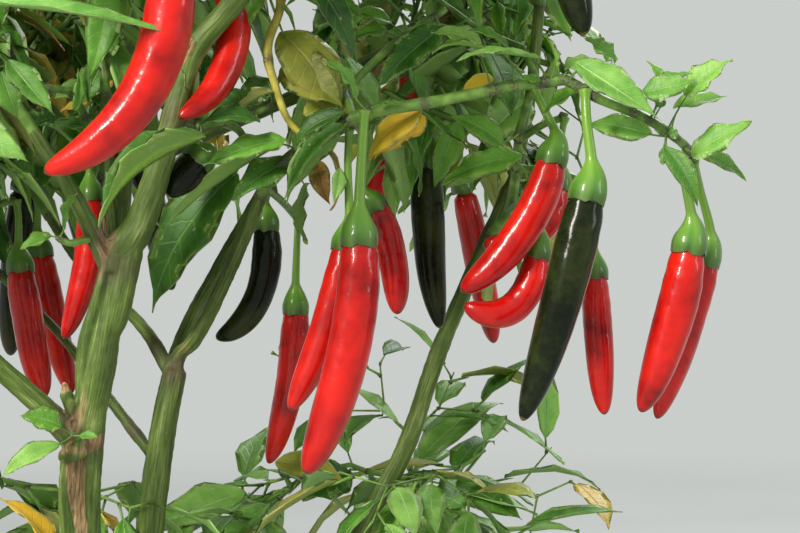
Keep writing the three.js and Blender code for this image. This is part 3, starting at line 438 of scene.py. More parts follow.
# Each mass of foliage: what it grows from, and where if that isn't its tip, its own stem and radius, its side
# twigs, and its near leaves: base, tip, width, how far they face the viewer, and fold. Where it goes on by
# rule, also how many times it forks, its seed and the middle of its space
masses = {
    "right_spray": {
        "from": "middle_right_arm", "radius": [2.3, 1.9],
        "stem": [[71, -62, 342], [89, -70, 352], [119, -72, 357.8], [142, -74, 362.3], [159, -76, 364.3]],
        "twigs": [
            [[89, -70, 352], [87, -56, 358], [86, -42, 364], [101, -37, 380], [122, -33, 395]],
            [[89, -70, 352], [90, -50, 350], [93, -28, 352]],
        ],
        "leaves": [
            [[86, -76, 349], [57, -84, 315], 15, 42, 52], [[86, -72, 354], [68, -66, 341], 12, 55, 35],
            [[90, -78, 358], [78, -84, 371], 11, 50, 40], [[84, -70, 347], [65, -66, 322], 14, -50, 40],
            [[114, -66, 357], [94, -52, 338], 15, 70, 20], [[121, -38, 388], [96, -44, 364], 15, 60, 25],
            [[134, -68, 376], [116, -60, 383], 10, 50, 30], [[136, -76, 375], [116, -82, 373], 10, 15, 35],
            [[154, -80, 372], [124, -88, 370], 12, 15, 35], [[143, -78, 375], [128, -84, 381], 10, 35, 35],
            [[159, -80, 369], [154, -86, 380], 10, 50, 30], [[80, -62, 342], [80, -52, 320], 7, 60, 40],
            [[72, -54, 330], [71, -42, 308], 12, 60, 30], [[97, -76, 356], [106, -78, 357], 5, 20, 30],
            [[138, -60, 366], [128, -44, 364], 9, 60, 15], [[106, -30, 354], [112, -24, 326], 11, 60, 25],
            [[84, -46, 362], [70, -54, 354], 24, 65, 15],
        ],
    },
    "far_right_spray": {
        "from": "right_spray", "radius": [1.9, 1.4],
        "stem": [[174, -78, 358], [188, -80, 352], [196, -82, 347], [203, -74, 343], [209, -64, 339]],
        "leaves": [
            [[165, -86, 370], [192, -96, 350], 17, 45, 28], [[162, -80, 368], [175, -70, 372], 9, 30, 30],
            [[180, -76, 371], [169, -80, 379], 11, 55, 30], [[198, -78, 360], [190, -80, 371], 6, 60, 30],
            [[190, -84, 362], [205, -86, 366], 8, 35, 35], [[187, -88, 359], [205, -92, 363], 11, 62, 22],
            [[203, -80, 359], [219, -84, 371], 12, 62, 25], [[200, -74, 355], [220, -66, 360], 9, 40, 30],
            [[206, -78, 338], [229, -86, 352], 15, 62, 25], [[211, -68, 340], [226, -60, 347], 7, 40, 30],
            [[208, -72, 340], [227, -66, 330], 10, 52, 25], [[195, -88, 341], [206, -92, 320], 13, 78, 22],
            [[193, -72, 346], [172, -54, 350], 12, 55, 25], [[167, -70, 361], [156, -52, 352], 11, 55, 25],
        ],
    },
    "inner_spray": {
        "from": "upper_stem", "at": [27, -74, 353], "radius": [1.9, 1.2],
        "stem": [[32, -70, 350], [42, -66, 351], [52, -62, 354], [60, -60, 358]],
        "twigs": [[[42, -66, 351], [48, -54, 348], [50, -50, 342]]],
        "leaves": [
            [[38, -80, 345], [3, -92, 313], 16, 32, 50], [[56, -68, 351], [35, -76, 349], 11, 45, 30],
            [[60, -64, 362], [47, -68, 354], 10, -45, 30], [[59, -58, 342], [21, -64, 313], 15, -25, 40],
            [[46, -48, 334], [15, -42, 283], 24, 72, 14], [[31, -72, 356], [27, -78, 374], 8, 60, 30],
        ],
    },
    "left_spray": {
        "from": "left_arm", "radius": [2.1, 1.2],
        "stem": [[-28, -82, 357], [-34, -92, 368], [-40, -112, 378], [-44, -136, 384]],
        "twigs": [[[-28, -82, 357], [-20, -70, 362], [-10, -60, 362]]],
        "leaves": [
            [[-28, -92, 370], [-11, -98, 351], 12, 45, 30], [[-30, -94, 366], [-24, -96, 350], 13, 65, 20],
            [[-42, -112, 348], [-16, -118, 334], 15, 60, 20],
            [[-22, -66, 362], [-31, -60, 372], 10, 60, 20], [[-10, -64, 355], [-9, -62, 370], 6, 70, 30],
            [[-24, -158, 381], [36, -164, 371], 14, 28, 30],
            [[-46, -140, 380], [-82, -150, 362], 16, 40, 25],
            [[-40, -110, 384], [-66, -104, 402], 15, 20, 25], [[-36, -84, 372], [-58, -72, 388], 15, 30, 25],
        ],
    },
    "knot_shoot": {
        "from": "left_stem", "at": [-6, -66, 239], "radius": [1.4, 1.1],
        "stem": [[-7, -78, 241], [-8, -82, 242]],
        "leaves": [
            [[-11, -83, 245], [-25, -86, 249], 11, 58, 28], [[-12, -83, 239], [-31, -88, 228], 10, 48, 32],
            [[-5, -83, 242], [2, -85, 241], 5, 45, 30],
        ],
    },
    "fork_shoot": {
        "from": "left_arm", "at": [-1, -72, 310], "radius": [1.4, 1.1],
        "stem": [[-9, -80, 308], [-13, -83, 310]],
        "leaves": [
            [[-15, -83, 311], [-25, -86, 306], 8, 40, 30], [[-10, -84, 313], [-5, -88, 325], 8, 70, 20],
        ],
    },
    "top_front": {
        "from": "upper_stem", "stem": [[60, -86, 417], [64, -94, 432]], "radius": [2.8, 2.2], "levels": 3,
        "seed": 11, "middle": [60, -108, 462],
        "twigs": [[[60, -86, 417], [50, -76, 428]]],
        "leaves": [
            [[71, -72, 404], [90, -76, 370], 12, 65, 30], [[64, -62, 400], [88, -64, 384], 13, 45, 30],
            [[55, -62, 402], [50, -66, 382], 11, 60, 25], [[72, -40, 402], [92, -44, 389], 12, 45, 25],
            [[62, -54, 384], [84, -52, 352], 22, 72, 14], [[2, -60, 402], [-5, -64, 365], 14, 60, 25],
        ],
    },
    "left_crown": {
        "from": "left_side_stem", "stem": [[-92, -80, 338], [-104, -84, 352]], "radius": [2.7, 2.2],
        "levels": 3, "seed": 24, "middle": [-134, -86, 384],
    },
    "left_inner": {
        "from": "left_thin_stem", "stem": [[-62, 10, 310], [-66, 2, 326]], "radius": [1.8, 1.6],
        "levels": 3, "seed": 31, "middle": [-62, -18, 372],
    },
    "left_back": {
        "from": "left_back_stem", "stem": [[-120, 54, 326], [-126, 56, 338]], "radius": [2.6, 2.1],
        "levels": 3, "seed": 41, "middle": [-136, 60, 382],
    },
    "inner_crown": {
        "from": "middle_left_arm", "stem": [[-42, 14, 336]], "radius": [1.9, 1.7], "levels": 2, "seed": 53,
        "middle": [-30, 50, 356],
    },
    "upright_spray": {
        "from": "upright_arm", "stem": [[-3, -49, 376]], "radius": [1.8, 1.6], "levels": 2, "seed": 61,
        "middle": [-12, -48, 408],
        "leaves": [[[-3, -46, 374], [-10, -50, 358], 12, 60, 20]],
    },
    "leader_crown": {
        "from": "leader", "stem": [[6, 10, 412], [8, 6, 426]], "radius": [2.5, 2.1], "levels": 3,
        "seed": 71, "middle": [4, 6, 476],
    },
    "back_crown": {
        "from": "back_stem", "stem": [[-30, 124, 326], [-30, 128, 338]], "radius": [2.6, 2.1], "levels": 3,
        "seed": 83, "middle": [-36, 142, 392],
    },
    "right_back": {
        "from": "right_back_stem", "stem": [[58, 114, 348], [74, 117, 358]], "radius": [2.6, 2.1],
        "levels": 3, "seed": 98, "middle": [104, 122, 388],
    },
    "right_crown": {
        "from": "right_stem", "at": [140, 33, 311], "radius": [2.2, 1.7], "levels": 3, "seed": 103,
        "middle": [156, 30, 352],
        "stem": [[148, 22, 322], [150, 4, 338], [150, -10, 348]],
        "twigs": [
            [[150, -10, 348], [152, -28, 360], [154, -42, 364]],
            [[150, 4, 338], [134, 4, 352], [114, 2, 362]],
            [[148, 22, 322], [152, -2, 326], [152, -24, 330]],
            [[150, 4, 338], [166, -2, 336], [180, -6, 330]],
            [[150, -10, 348], [160, -14, 354], [167, -18, 356]],
        ],
        "leaves": [
            [[150, -36, 341], [120, -32, 330], 14, 60, 25], [[144, -20, 345], [124, -22, 356], 13, 60, 20],
            [[128, 0, 356], [118, -8, 330], 12, 60, 20],
        ],
    },
    "right_top": {
        "from": "right_top_arm", "stem": [[158, -24, 416], [158, -34, 430]], "radius": [2.1, 1.9],
        "levels": 3, "seed": 113, "middle": [150, -46, 462],
        "twigs": [[[158, -34, 430], [160, -56, 452], [158, -76, 470]]],
    },
    "low_right": {
        "from": "low_right_stem", "stem": [[80, 52, 164]], "radius": [2.2, 1.9], "levels": 2, "seed": 127,
        "middle": [92, 52, 188],
    },
    "low_left": {
        "from": "low_left_stem", "stem": [[-45, -36, 166]], "radius": [2.1, 1.8], "levels": 2, "seed": 139,
        "middle": [-56, -40, 186],
        "leaves": [[[-17, -54, 196], [-38, -60, 218], 12, 40, 25]],
    },
}

# The sizes of the plant, as in the CAD model. A pair is a least size and how much more there can be
sizes = {
    "seatGap": 0.35, "seatLead": 6, "limbClearance": 1.6, "leafClearance": 0.8,
    "petiole": 9, "leafLength": 50, "leafShare": 0.42, "widestAt": 0.45,
    "fruitLength": 76, "girth": 6.9, "shoulder": 0.85, "fullBy": 0.3, "blunt": 5,
    "stalk": 33, "stalkRadius": 1.3, "cup": 9, "cupShare": 0.4, "stalkLead": 7, "stalkBend": [0.5, 0.5, 0.28],
}
crown = {
    "centre": np.array([15, 8, 335.0]), "radius": np.array([240, 205, 220.0]), "lowest": 130,
    "margin": 0.6, # how far a twig keeps from the next mass
}
openBoxes = np.array([ # where the plant is open: x, y and z, from and to
    [[-62, 270], [-300, -56], [204, 400]],
    [[-45, 275], [-60, 95], [222, 312]],
    [[160, 300], [-240, 96], [225, 412]],
], float)
shoot = {"internode": 30, "shorter": 0.92, "vary": (0.85, 0.3), "radius": 1.9, "thinner": 0.8, "overlap": 1.5}
fork = {"spread": 38, "vary": (0.8, 0.5), "turn": (80, 30), "lift": 0.12, "turns": (0, 0.45, 0.9)}
leafRule = {
    "start": (0.7, 0.12), "lean": 62, "lastLean": 45, "turns": (60, 240), "lastTurns": (0, 120, 240),
    "roll": 30, "tilt": 40, "hang": (0.2, 0.5), "span": (0.75, 0.45), "fold": (18, 24),
}
fruitRule = {
    "share": 0.45, "start": 0.55, "lean": (10, 16), "out": 8, "stalk": (0.8, 0.3), "span": (0.8, 0.3),
    "girth": (0.85, 0.2), "bow": 6, "sag": 2,
}
# The finer twigs that the scene carries on with, past the last fork of the CAD model's
finer = {
    "forks": 3, "internode": 18, "vary": (0.8, 0.5), "radius": 0.8, "thinner": 0.8,
    "leaves": (30, 150, 270), "leafShare": 0.76, "fork": 46, "spread": (0.6, 0.5),
    "inside": 3, "limbClearance": 1, "leafClearance": 0.6,
}


def taper(radius, count):
    return np.linspace(radius[0], radius[1], count)


def bodyRadius(fruit, s):
    # a fruit's radius from its shoulder, s = 0, to its tip: full soon, then girth * sqrt(1 - s^blunt)
    neck = fruit["girth"] * sizes["shoulder"]
    full = np.sin(np.minimum(1, s / sizes["fullBy"]) * np.pi / 2)
    widest = neck + (fruit["girth"] - neck) * full
    return widest * np.sqrt(np.maximum(0, 1 - s ** fruit.get("blunt", sizes["blunt"])))


def fruitTrace(fruit, count):
    # a fruit's middle line in count lengths: its root, down the stalk, its shoulder, its bowed middle and its
    # tip. With it the radius at each point: the stalk's, flared as a square from the cup on, then the body's
    root, neck, tip = [np.array(fruit[key], float) for key in ("root", "neck", "tip")]
    bend = root + (neck - root) * sizes["stalkBend"]
    middle = (neck + tip) / 2 + fruit["bow"]
    path = np.array([root, bend, neck - unit(middle - neck) * sizes["stalkLead"], neck, middle, tip])
    whole = steps(path).sum()
    shoulder = steps(path)[:3].sum() / whole
    cup = shoulder - min(sizes["cup"] / whole, shoulder * sizes["cupShare"])
    t = np.linspace(0, 1, count + 1)
    neck = fruit["girth"] * sizes["shoulder"] - sizes["stalkRadius"]
    flare = sizes["stalkRadius"] + neck * np.clip((t - cup) / (shoulder - cup), 0, 1) ** 2
    body = bodyRadius(fruit, np.clip((t - shoulder) / (1 - shoulder), 0, 1))
    body = np.maximum(body, fruit["girth"] * 0.14)
    return smoothLine(path, count), np.where(t < shoulder, flare, body)


def placeLimbs():
    # each limb's middle line; one that follows another starts just past its tip
    for limb in limbs.values():
        before = limbs.get(limb.get("follows"))
        path = np.array(limb["path"], float)
        if before:
            lead = np.outer([sizes["seatGap"], sizes["seatLead"]], before["way"]) + before["tip"]
            path = np.vstack([lead, path])
        limb["points"] = path
        limb["line"] = smoothLine(path, 20)
        limb["tip"] = limb["line"][-1]
        limb["way"] = unit(limb["line"][-1] - limb["line"][-2])
    return [(limb["line"], taper(limb["radius"], 21)) for limb in limbs.values()]


def faceNormal(base, tip, face):
    # the upper face's direction: up where face is 0, towards the viewer where it is 90
    up, side = across(unit(tip - base))
    seen = -1 if side[1] > 0 else 1
    face = math.radians(face)
    return unit(up * math.cos(face) + side * seen * math.sin(face))


def leafOf(root, base, tip, width, normal, fold, kind="mid"):
    values = {"root": root, "base": base, "tip": tip, "width": width, "normal": normal, "fold": fold}
    return {**{key: np.asarray(value, float) for key, value in values.items()}, "kind": kind}


def leafCorners(leaf):
    # the two sides of a blade at its widest, its middle, its tip and a spot between
    side = np.cross(unit(leaf["tip"] - leaf["base"]), leaf["normal"])
    middle = leaf["base"] + (leaf["tip"] - leaf["base"]) * sizes["widestAt"]
    fold = math.radians(leaf["fold"])
    lift = leaf["normal"] * leaf["width"] / 2 * math.sin(fold)
    reach = side * leaf["width"] / 2 * math.cos(fold)
    late = leaf["base"] + (leaf["tip"] - leaf["base"]) * 0.72
    return np.array([middle + lift - reach, middle + lift + reach, middle, leaf["tip"], late])


def placeMasses():
    # each mass's own stem, the twigs and spurs that hold its near fruit, and its near leaves
    barriers = []
    for name, mass in masses.items():
        parent = limbs.get(mass["from"]) or masses[mass["from"]]
        way = parent["way"]
        start = parent["tip"] + way * sizes["seatGap"]
        if "at" in mass:
            at = np.array(mass["at"], float)
            way = unit(np.array(mass["stem"][0], float) - at)
            line = parent["line"], taper(parent["radius"], len(parent["line"]))
            reach = at + way * np.arange(40)[:, None] * 0.4
            room = sizes["seatGap"] + mass["radius"][0] * 0.35
            start = reach[(distances(reach, segmentsOf([line]))[0].min(1) > room).argmax()]
        stem = np.vstack([start, start + way * 3, mass["stem"]])
        mass["line"] = stem
        mass["tip"] = stem[-1]
        mass["way"] = unit(stem[-1] - stem[-2])
        mass["lines"] = [(stem, taper(mass["radius"], len(stem)))]
        for points in mass.get("twigs", []):
            mass["lines"].append((np.array(points, float), taper([1.6, 1.3], len(points))))
        for fruit in [fruit for fruit in fruits.values() if fruit["on"] == name]:
            root = np.array(fruit["root"], float)
            spot = nearest(root, segmentsOf(mass["lines"]))
            if np.linalg.norm(spot - root) > 1.2:
                spur = np.array([spot, (spot + root) / 2 + [0, 0, 1], root])
                mass["lines"].append((spur, taper([1.4, 1.4], 3)))
        mass["near"] = []
        for base, tip, width, face, fold in mass.get("leaves", []):
            base, tip = np.array(base, float), np.array(tip, float)
            root = nearest(base, segmentsOf(mass["lines"]))
            normal = faceNormal(base, tip, face)
            mass["near"].append(leafOf(root, base, tip, width, normal, fold))
            barriers.append((np.array([base, (base + tip) / 2, tip]), np.array([1, width * 0.4, 1])))
        barriers += mass["lines"]
    return barriers


def inSpace(points, name):
    # whether points are nearer to their mass's middle than to any other's, inside the crown, and out of the
    # open view
    points = np.atleast_2d(points)
    opened = ((points[:, None] > openBoxes[:, :, 0]) & (points[:, None] < openBoxes[:, :, 1])).all(-1).any()
    outside = np.linalg.norm((points - crown["centre"]) / crown["radius"], axis=-1) > 1
    if opened or outside.any() or (points[:, 2] < crown["lowest"]).any():
        return False
    own = np.array(masses[name]["middle"], float)
    others = np.array([m["middle"] for key, m in masses.items() if "middle" in m and key != name], float)
    near = ((points - own) ** 2).sum(-1)[:, None]
    far = ((points[:, None] - others) ** 2).sum(-1)
    return bool(((near - far) / (2 * np.linalg.norm(others - own, axis=-1)) < -crown["margin"]).all())


def ruledLeaf(tip, way, length, last, turn, i, curl, dealt, scale=1.0):
    # a leaf on a shoot: out from the shoot along its petiole, and then drooping
    longLeaf, roll, dip = dealt
    root = tip["at"] + way * length * ranging(leafRule["start"], i)
    lean = leafRule["lastLean"] if last else leafRule["lean"]
    out = leaning(way, lean, tip["turn"] + turn + leafRule["roll"] * (roll - 0.5))
    droop = unit(out + [0, 0, -ranging(leafRule["hang"], dip)])
    base = root + out * sizes["petiole"] * scale
    span = sizes["leafLength"] * ranging(leafRule["span"], longLeaf) * scale
    end = base + droop * span
    normal = faceNormal(base, end, leafRule["tilt"] * (roll - 0.5))
    return leafOf(root, base, end, span * sizes["leafShare"], normal, ranging(leafRule["fold"], curl))


def ruledFruit(tip, way, length, longer, bend, hang, swing, curl):
    # a fruit under a shoot
    out = leaning(np.array([0, 0, -1.0]), ranging(fruitRule["lean"], swing), 360 * hang)
    root = tip["at"] + way * length * fruitRule["start"]
    neck = root + out * fruitRule["out"] - [0, 0, sizes["stalk"] * ranging(fruitRule["stalk"], curl)]
    end = neck + out * sizes["fruitLength"] * ranging(fruitRule["span"], longer)
    bow = np.array([fruitRule["bow"] * (bend - 0.5), fruitRule["bow"] * (swing - 0.5), -fruitRule["sag"]])
    girth = sizes["girth"] * ranging(fruitRule["girth"], swing)
    return {"root": root, "neck": neck, "tip": end, "girth": girth, "bow": bow}


def grow(name, mass, barriers):
    # a mass's twigs, leaves and fruit by the CAD model's rule: a shoot forks in two at its end, each time
    # across the fork before, with a leaf on either side below the fork and now and then a fruit. Each last
    # shoot is then carried on to finer twigs in the same space
    draw = seeded(mass["seed"])
    found = {"twigs": [], "leaves": [], "fruits": []}
    taken = [] # the fruits' middle lines
    shoots = [{"at": mass["tip"], "way": mass["way"], "turn": 360 * draw(), "level": 0, "twig": None}]
    tips = []
    for tip in shoots:
        longer, bend, hang, chance, swing, curl = [draw() for _ in range(6)]
        length = shoot["internode"] * shoot["shorter"] ** tip["level"] * ranging(shoot["vary"], longer)
        radius = shoot["radius"] * shoot["thinner"] ** tip["level"]
        way = clearWay(name, mass, tip, length, radius, barriers, (0.4, 0.7, 1))
        if way is None:
            continue
        end = tip["at"] + way * length
        twig = tip["twig"] or {"points": [tip["at"]], "radius": [radius, radius]}
        if tip["twig"] is None:
            found["twigs"].append(twig)
        twig["points"].append(end)
        twig["radius"][1] = radius * shoot["thinner"]
        last = tip["level"] == mass["levels"]
        held = segmentsOf(taken) if taken else None
        for i, turn in enumerate(leafRule["lastTurns"] if last else leafRule["turns"]):
            leaf = ruledLeaf(tip, way, length, last, turn, i, curl, [draw() for _ in range(3)])
            corners = leafCorners(leaf)
            free = clear(corners, sizes["limbClearance"], barriers) and inSpace(corners, name)
            if free and clear(corners, sizes["leafClearance"], held):
                found["leaves"].append(leaf)
        if tip["level"] > 0 and chance < fruitRule["share"]:
            fruit = ruledFruit(tip, way, length, longer, bend, hang, swing, curl)
            line, girths = fruitTrace(fruit, 10)
            spots = line[2:]
            sides = np.array([[1, 0, 0], [-1, 0, 0], [0, 1, 0], [0, -1, 0]])
            around = (spots[:, None] + sides * fruit["girth"]).reshape(-1, 3)
            apart = clear(spots, fruit["girth"] + 1, held) and inSpace(around, name)
            if apart and clear(spots, fruit["girth"] + sizes["limbClearance"], barriers):
                found["fruits"].append(fruit)
                taken.append((line, girths))
        if last:
            tips.append({"at": end, "way": way, "turn": tip["turn"] + 90, "level": 0})
            continue
        for side in (-1, 1):
            spread = fork["spread"] * ranging(fork["vary"], draw())
            following = unit(leaning(way, spread, tip["turn"] + 90 * side) + [0, 0, fork["lift"]])
            turn = tip["turn"] + ranging(fork["turn"], draw())
            goesOn = side < 0
            shoots.append({
                "at": end if goesOn else end - way * shoot["overlap"], "way": following, "turn": turn,
                "level": tip["level"] + 1, "twig": twig if goesOn else None,
            })
    growFiner(name, mass, barriers, segmentsOf(taken) if taken else None, tips, found)
    return found


def clearWay(name, mass, tip, length, radius, barriers, tested):
    # the shoot's own way, or one turned towards the mass's middle, along which it stays clear
    homeward = unit(np.array(mass["middle"], float) - tip["at"])
    for pull in fork["turns"]:
        way = unit(tip["way"] + (homeward - tip["way"]) * pull)
        spots = tip["at"] + way * length * np.array(tested)[:, None]
        if inSpace(spots, name) and clear(spots, radius + sizes["limbClearance"], barriers):
            return way
    return None


def growFiner(name, mass, barriers, held, tips, found):
    # the same rule at a smaller size, from the ends of the last shoots
    draw = seeded(mass["seed"] * 7 + 5)

    def sideways(way, side, turn):
        # way turned to one side by about the fork's angle
        return leaning(way, finer["fork"] * side * ranging(finer["spread"], draw()), turn)

    shoots = [
        {**tip, "way": sideways(tip["way"], side, tip["turn"]), "twig": None}
        for tip in tips for side in (-1, 1)
    ]
    made = []
    for tip in shoots:
        length = finer["internode"] * ranging(finer["vary"], draw())
        curl = draw()
        way = clearWay(name, mass, tip, length, finer["radius"], barriers, (0.5, 1))
        if way is None or not inBox(tip["at"] + way * length, finer["inside"]):
            continue
        end = tip["at"] + way * length
        thin = finer["radius"] * finer["thinner"] ** tip["level"]
        line = [tip["at"] - way, tip["at"], end]
        twig = {"points": line, "radius": [thin, thin * 0.7], "from": tip["twig"]}
        made.append(twig)
        for i, turn in enumerate(finer["leaves"]):
            dealt = [draw() for _ in range(3)]
            leaf = ruledLeaf(tip, way, length, True, turn, i, curl, dealt, finer["leafShare"])
            corners = leafCorners(leaf)
            free = clear(corners, finer["limbClearance"], barriers) and inBox(corners, finer["inside"])
            if free and clear(corners, finer["leafClearance"], held) and inSpace(corners, name):
                found["leaves"].append(leaf)
                bearer = twig
                while bearer:
                    bearer["leafy"] = True
                    bearer = bearer["from"]
        if tip["level"] + 1 < finer["forks"]:
            for side in (-1, 1):
                shoots.append({
                    "at": end, "way": sideways(way, side, tip["turn"] + 90), "turn": tip["turn"] + 100,
                    "level": tip["level"] + 1, "twig": twig,
                })
    found["twigs"] += [twig for twig in made if "leafy" in twig] # none is left bare


limbLines = placeLimbs()
fruitLines = [fruitTrace(fruit, 16) for fruit in fruits.values()]
barriers = segmentsOf(limbLines + fruitLines + placeMasses())
print("limbs, fruit and the masses' own twigs are placed")


# Stems

def greenBark():
    # the skin of a young woody stem: dull satin green with fine paler lines that run along it, brown and
    # corky where it has forked or torn, with purple-brown joints, and painted shade that darkens the pits of
    # its scars near black
    material, add, feed, place = newMaterial("greenBark", {"IOR": 1.45, "Specular IOR Level": 0.35})
    run, woody, joint, hollow = [
        add("Attribute", {"attribute_name": key}).outputs["Vector" if key == "run" else "Fac"]
        for key in ("run", "woody", "joint", "hollow")
    ] # run is in millimetres, across the limb twice and along it
    drawn = add("Mapping", {"Scale": (1, 1, 0.05)}, {"Vector": run})
    wide = add("Mapping", {"Scale": (1, 1, 0.14)}, {"Vector": run})
    streaks = add("TexNoise", {"Scale": 1.6, "Detail": 5, "Roughness": 0.66}, {"Vector": drawn}) # 0.6 mm
    bands = add("TexNoise", {"Scale": 0.26, "Detail": 3}, {"Vector": wide}) # about 4 mm wide
    patches = add("TexNoise", {"Scale": 60, "Detail": 4}, {"Vector": place}) # about 16 mm across
    grain = add("TexNoise", {"Scale": 2400, "Detail": 2}, {"Vector": place}) # about 0.4 mm
    lit = add("Math", {"operation": "MULTIPLY_ADD", 1: 0.75}, {0: bands, 2: streaks})
    green = add("ValToRGB", {"stops": [
        (0.38, "#3c521d"), (0.48, "#566f2f"), (0.57, "#738844"), (0.67, "#a6b37c"),
    ]}, {0: add("Math", {"operation": "MULTIPLY", 1: 0.57}, {0: lit})})
    tone = add("ValToRGB", {"stops": [(0.3, "#a7ad93"), (0.7, "#eef0dc")]}, {0: patches})
    green = add("Mix", {**colours, "blend_type": "MULTIPLY", 0: 0.7}, {6: green, 7: tone})
    specks = add("MapRange", {**soft, 1: 0.66, 2: 0.78, 4: 0.5}, {0: grain})
    green = add("Mix", {**colours, 7: "#b3b98c"}, {0: specks, 6: green})
    brown = add("ValToRGB", {"stops": [
        (0.3, "#4c3a27"), (0.45, "#7d6645"), (0.6, "#a8906b"), (0.75, "#c8b692"),
    ]}, {0: streaks})
    torn = add("Math", {"operation": "MULTIPLY_ADD", 1: 0.7}, {0: patches, 2: woody})
    bare = add("MapRange", {**soft, 1: 0.72, 2: 1.15}, {0: torn})
    bark = add("Mix", colours, {0: bare, 6: green, 7: brown})
    stained = add("Math", {"operation": "MULTIPLY"}, {0: joint, 1: patches})
    bark = add("Mix", {**colours, 7: "#4a3532"}, {0: stained, 6: bark})
    # painted shade: the pit in the middle of each dropped shoot's scar is darkened near black
    bark = add("Mix", {**colours, 7: "#1c130d"}, {0: hollow, 6: bark})
    dull = add("MapRange", {1: 0, 2: 1, 3: 0.5, 4: 0.85}, {0: bare})
    rough = add("Math", {"operation": "MULTIPLY_ADD", 1: 0.3}, {0: grain, 2: streaks})
    bump = add("Bump", {"Strength": 0.5, "Distance": 0.3 * metres}, {"Height": rough})
    feed({"Base Color": bark, "Roughness": dull, "Normal": bump})
    return material


stemSettings = {
    "spacing": 1.4, # between the rings of the plain tubes
    "ribs": 0.14, # height of the lengthwise ridges
    "dents": 0.24,
    "swelling": (0.12, 5), # at a joint: how much, and over what length
    "stained": 3.2, # how far a joint's purple-brown goes
    "cleft": 1.8, # how far from the line between two limbs the bark is corky
    "torn": (0.45, 0.35), # the grain of torn bark, and how far it is sunk
    "woodyBelow": (60, 190), # the height up to which the bark is brown, and where it is all green again
    "girthAt": { # by height: slimmer round the knot, stouter where it forks
        "left_stem": ([170, 205, 228, 248, 266, 293, 304], [1, 0.8, 0.82, 0.95, 1.06, 0.8, 0.66]),
        "middle_stem": ([225, 250, 262], [1, 0.94, 0.84]),
        "upper_stem": ([311, 335, 354], [1.3, 1.1, 1]), "left_arm": ([296, 320, 347], [1.2, 1.2, 1.08]),
    },
}
# Extra strands and lumps, each a path and the radius at its ends: below its knot the main stem is two
# strands with a torn strip between them
stemLumps = {
    "leftStrand": ([[-11, -40, 160], [-12, -61, 205], [-11.6, -67, 226], [-12, -69, 238]], [3.4, 3.9]),
    "rightStrand": ([[-4, -42, 162], [-4.6, -62, 207], [-3.4, -68, 230], [1, -70, 258]], [3.8, 4.2]),
    "burl": ([[-14, -71, 233], [-8, -74, 235.5], [-3, -73, 238]], [3.2, 3.6]),
    "smallBurl": ([[-7.5, -76, 240], [-5, -76, 238]], [2.0, 2.0]),
    "deadSpur": ([[-7, -69, 245], [-10.6, -71.5, 252.5], [-12.6, -72.5, 259.4]], [2.6, 2.2]),
    "seam": ([[-6.4, -71, 250], [-4.6, -72.4, 274], [0.6, -73, 292], [2.8, -74, 305]], [2.9, 2.2]),
    "crotch": ([[3.5, -70, 274], [7.6, -71, 292], [13, -72, 312]], [5.2, 4.6]),
    "collar": ([[0, 0, 92], [-2, -14, 118], [-5, -34, 155]], [7.6, 5.6]),
}
# Where the bark is dry and torn: a path, how far to either side, and how strongly
scars = [
    ([[-8, -71, 236], [-8.4, -69, 222], [-7.4, -66, 209], [-6.4, -62, 196]], [3.4, 0.6], 1.0),
    ([[-16, -71, 236], [-8, -75, 236], [1, -73, 239]], [1.7, 2.2], 0.75),
    ([[-9, -71, 244], [-5, -72, 252], [-5, -72, 262]], [2.6, 0.6], 0.6),
    ([[0, -76, 296], [2, -77, 305], [3.5, -76, 313]], [0.8, 3.0], 0.8),
    ([[-12.4, -72.4, 258.4], [-12.7, -72.6, 260]], [2.2, 2.2], 0.95),
    ([[4, -77, 304], [8, -78, 316], [13, -78, 326]], [2.2, 0.6], 0.6),
    ([[20, -26, 257], [24, -24, 268]], [4.6, 3.6], 0.5),
    ([[118, 20, 397], [127, 20, 401]], [1.5, 5], 1.0), # the cut branch's sawn end
    ([[29, -78, 373], [31, -79, 377]], [2.2, 2.2], 1.0),
]
# Round scars where a shoot has dropped: place, and half its width
eyes = [
    ([31.2, -79.4, 376], 2.3), ([-3.5, -78.5, 238.5], 1.5), ([8, -74, 272], 1.1), ([26, -78, 344], 1.0),
]


def jointsOn(line, radius, starts):
    # how strongly each point of a line is at a joint: exp(-(distance to the nearest start / width)^2)
    share = np.zeros(len(line))
    for start in starts:
        gap = gapTo(start, line)
        if gap.min() < radius.max() + 4:
            share = np.maximum(share, hump(gap - gap.min(), stemSettings["swelling"][1]))
    return share


def limbTube(name, starts, sides):
    # a limb's plain tube with its swollen joints; the trunk's foot spreads out into five roots
    limb = limbs[name]
    path = limb["points"]
    if "follows" in limb:
        path = np.vstack([path[0] - unit(path[1] - path[0]) * 2.5, path])
    long = steps(path).sum()
    line = smoothLine(path, int(long / stemSettings["spacing"]))
    radius = taper(limb["radius"], len(line))
    if name in stemSettings["girthAt"]:
        radius = radius * np.interp(line[:, 2], *stemSettings["girthAt"][name])
    joint = jointsOn(line, radius, [start for start in starts if np.linalg.norm(start - line[0]) > 9])
    girth = (radius * (1 + stemSettings["swelling"][0] * joint))[:, None] * np.ones(sides)
    if name == "trunk":
        angle = turnsOf(sides)
        flare = 5 * np.maximum(0, 1 - np.maximum(0, line[:, 2]) / 16) ** 2
        girth = girth + flare[:, None] * (1 + 0.35 * np.cos(5 * angle))
    return line, girth


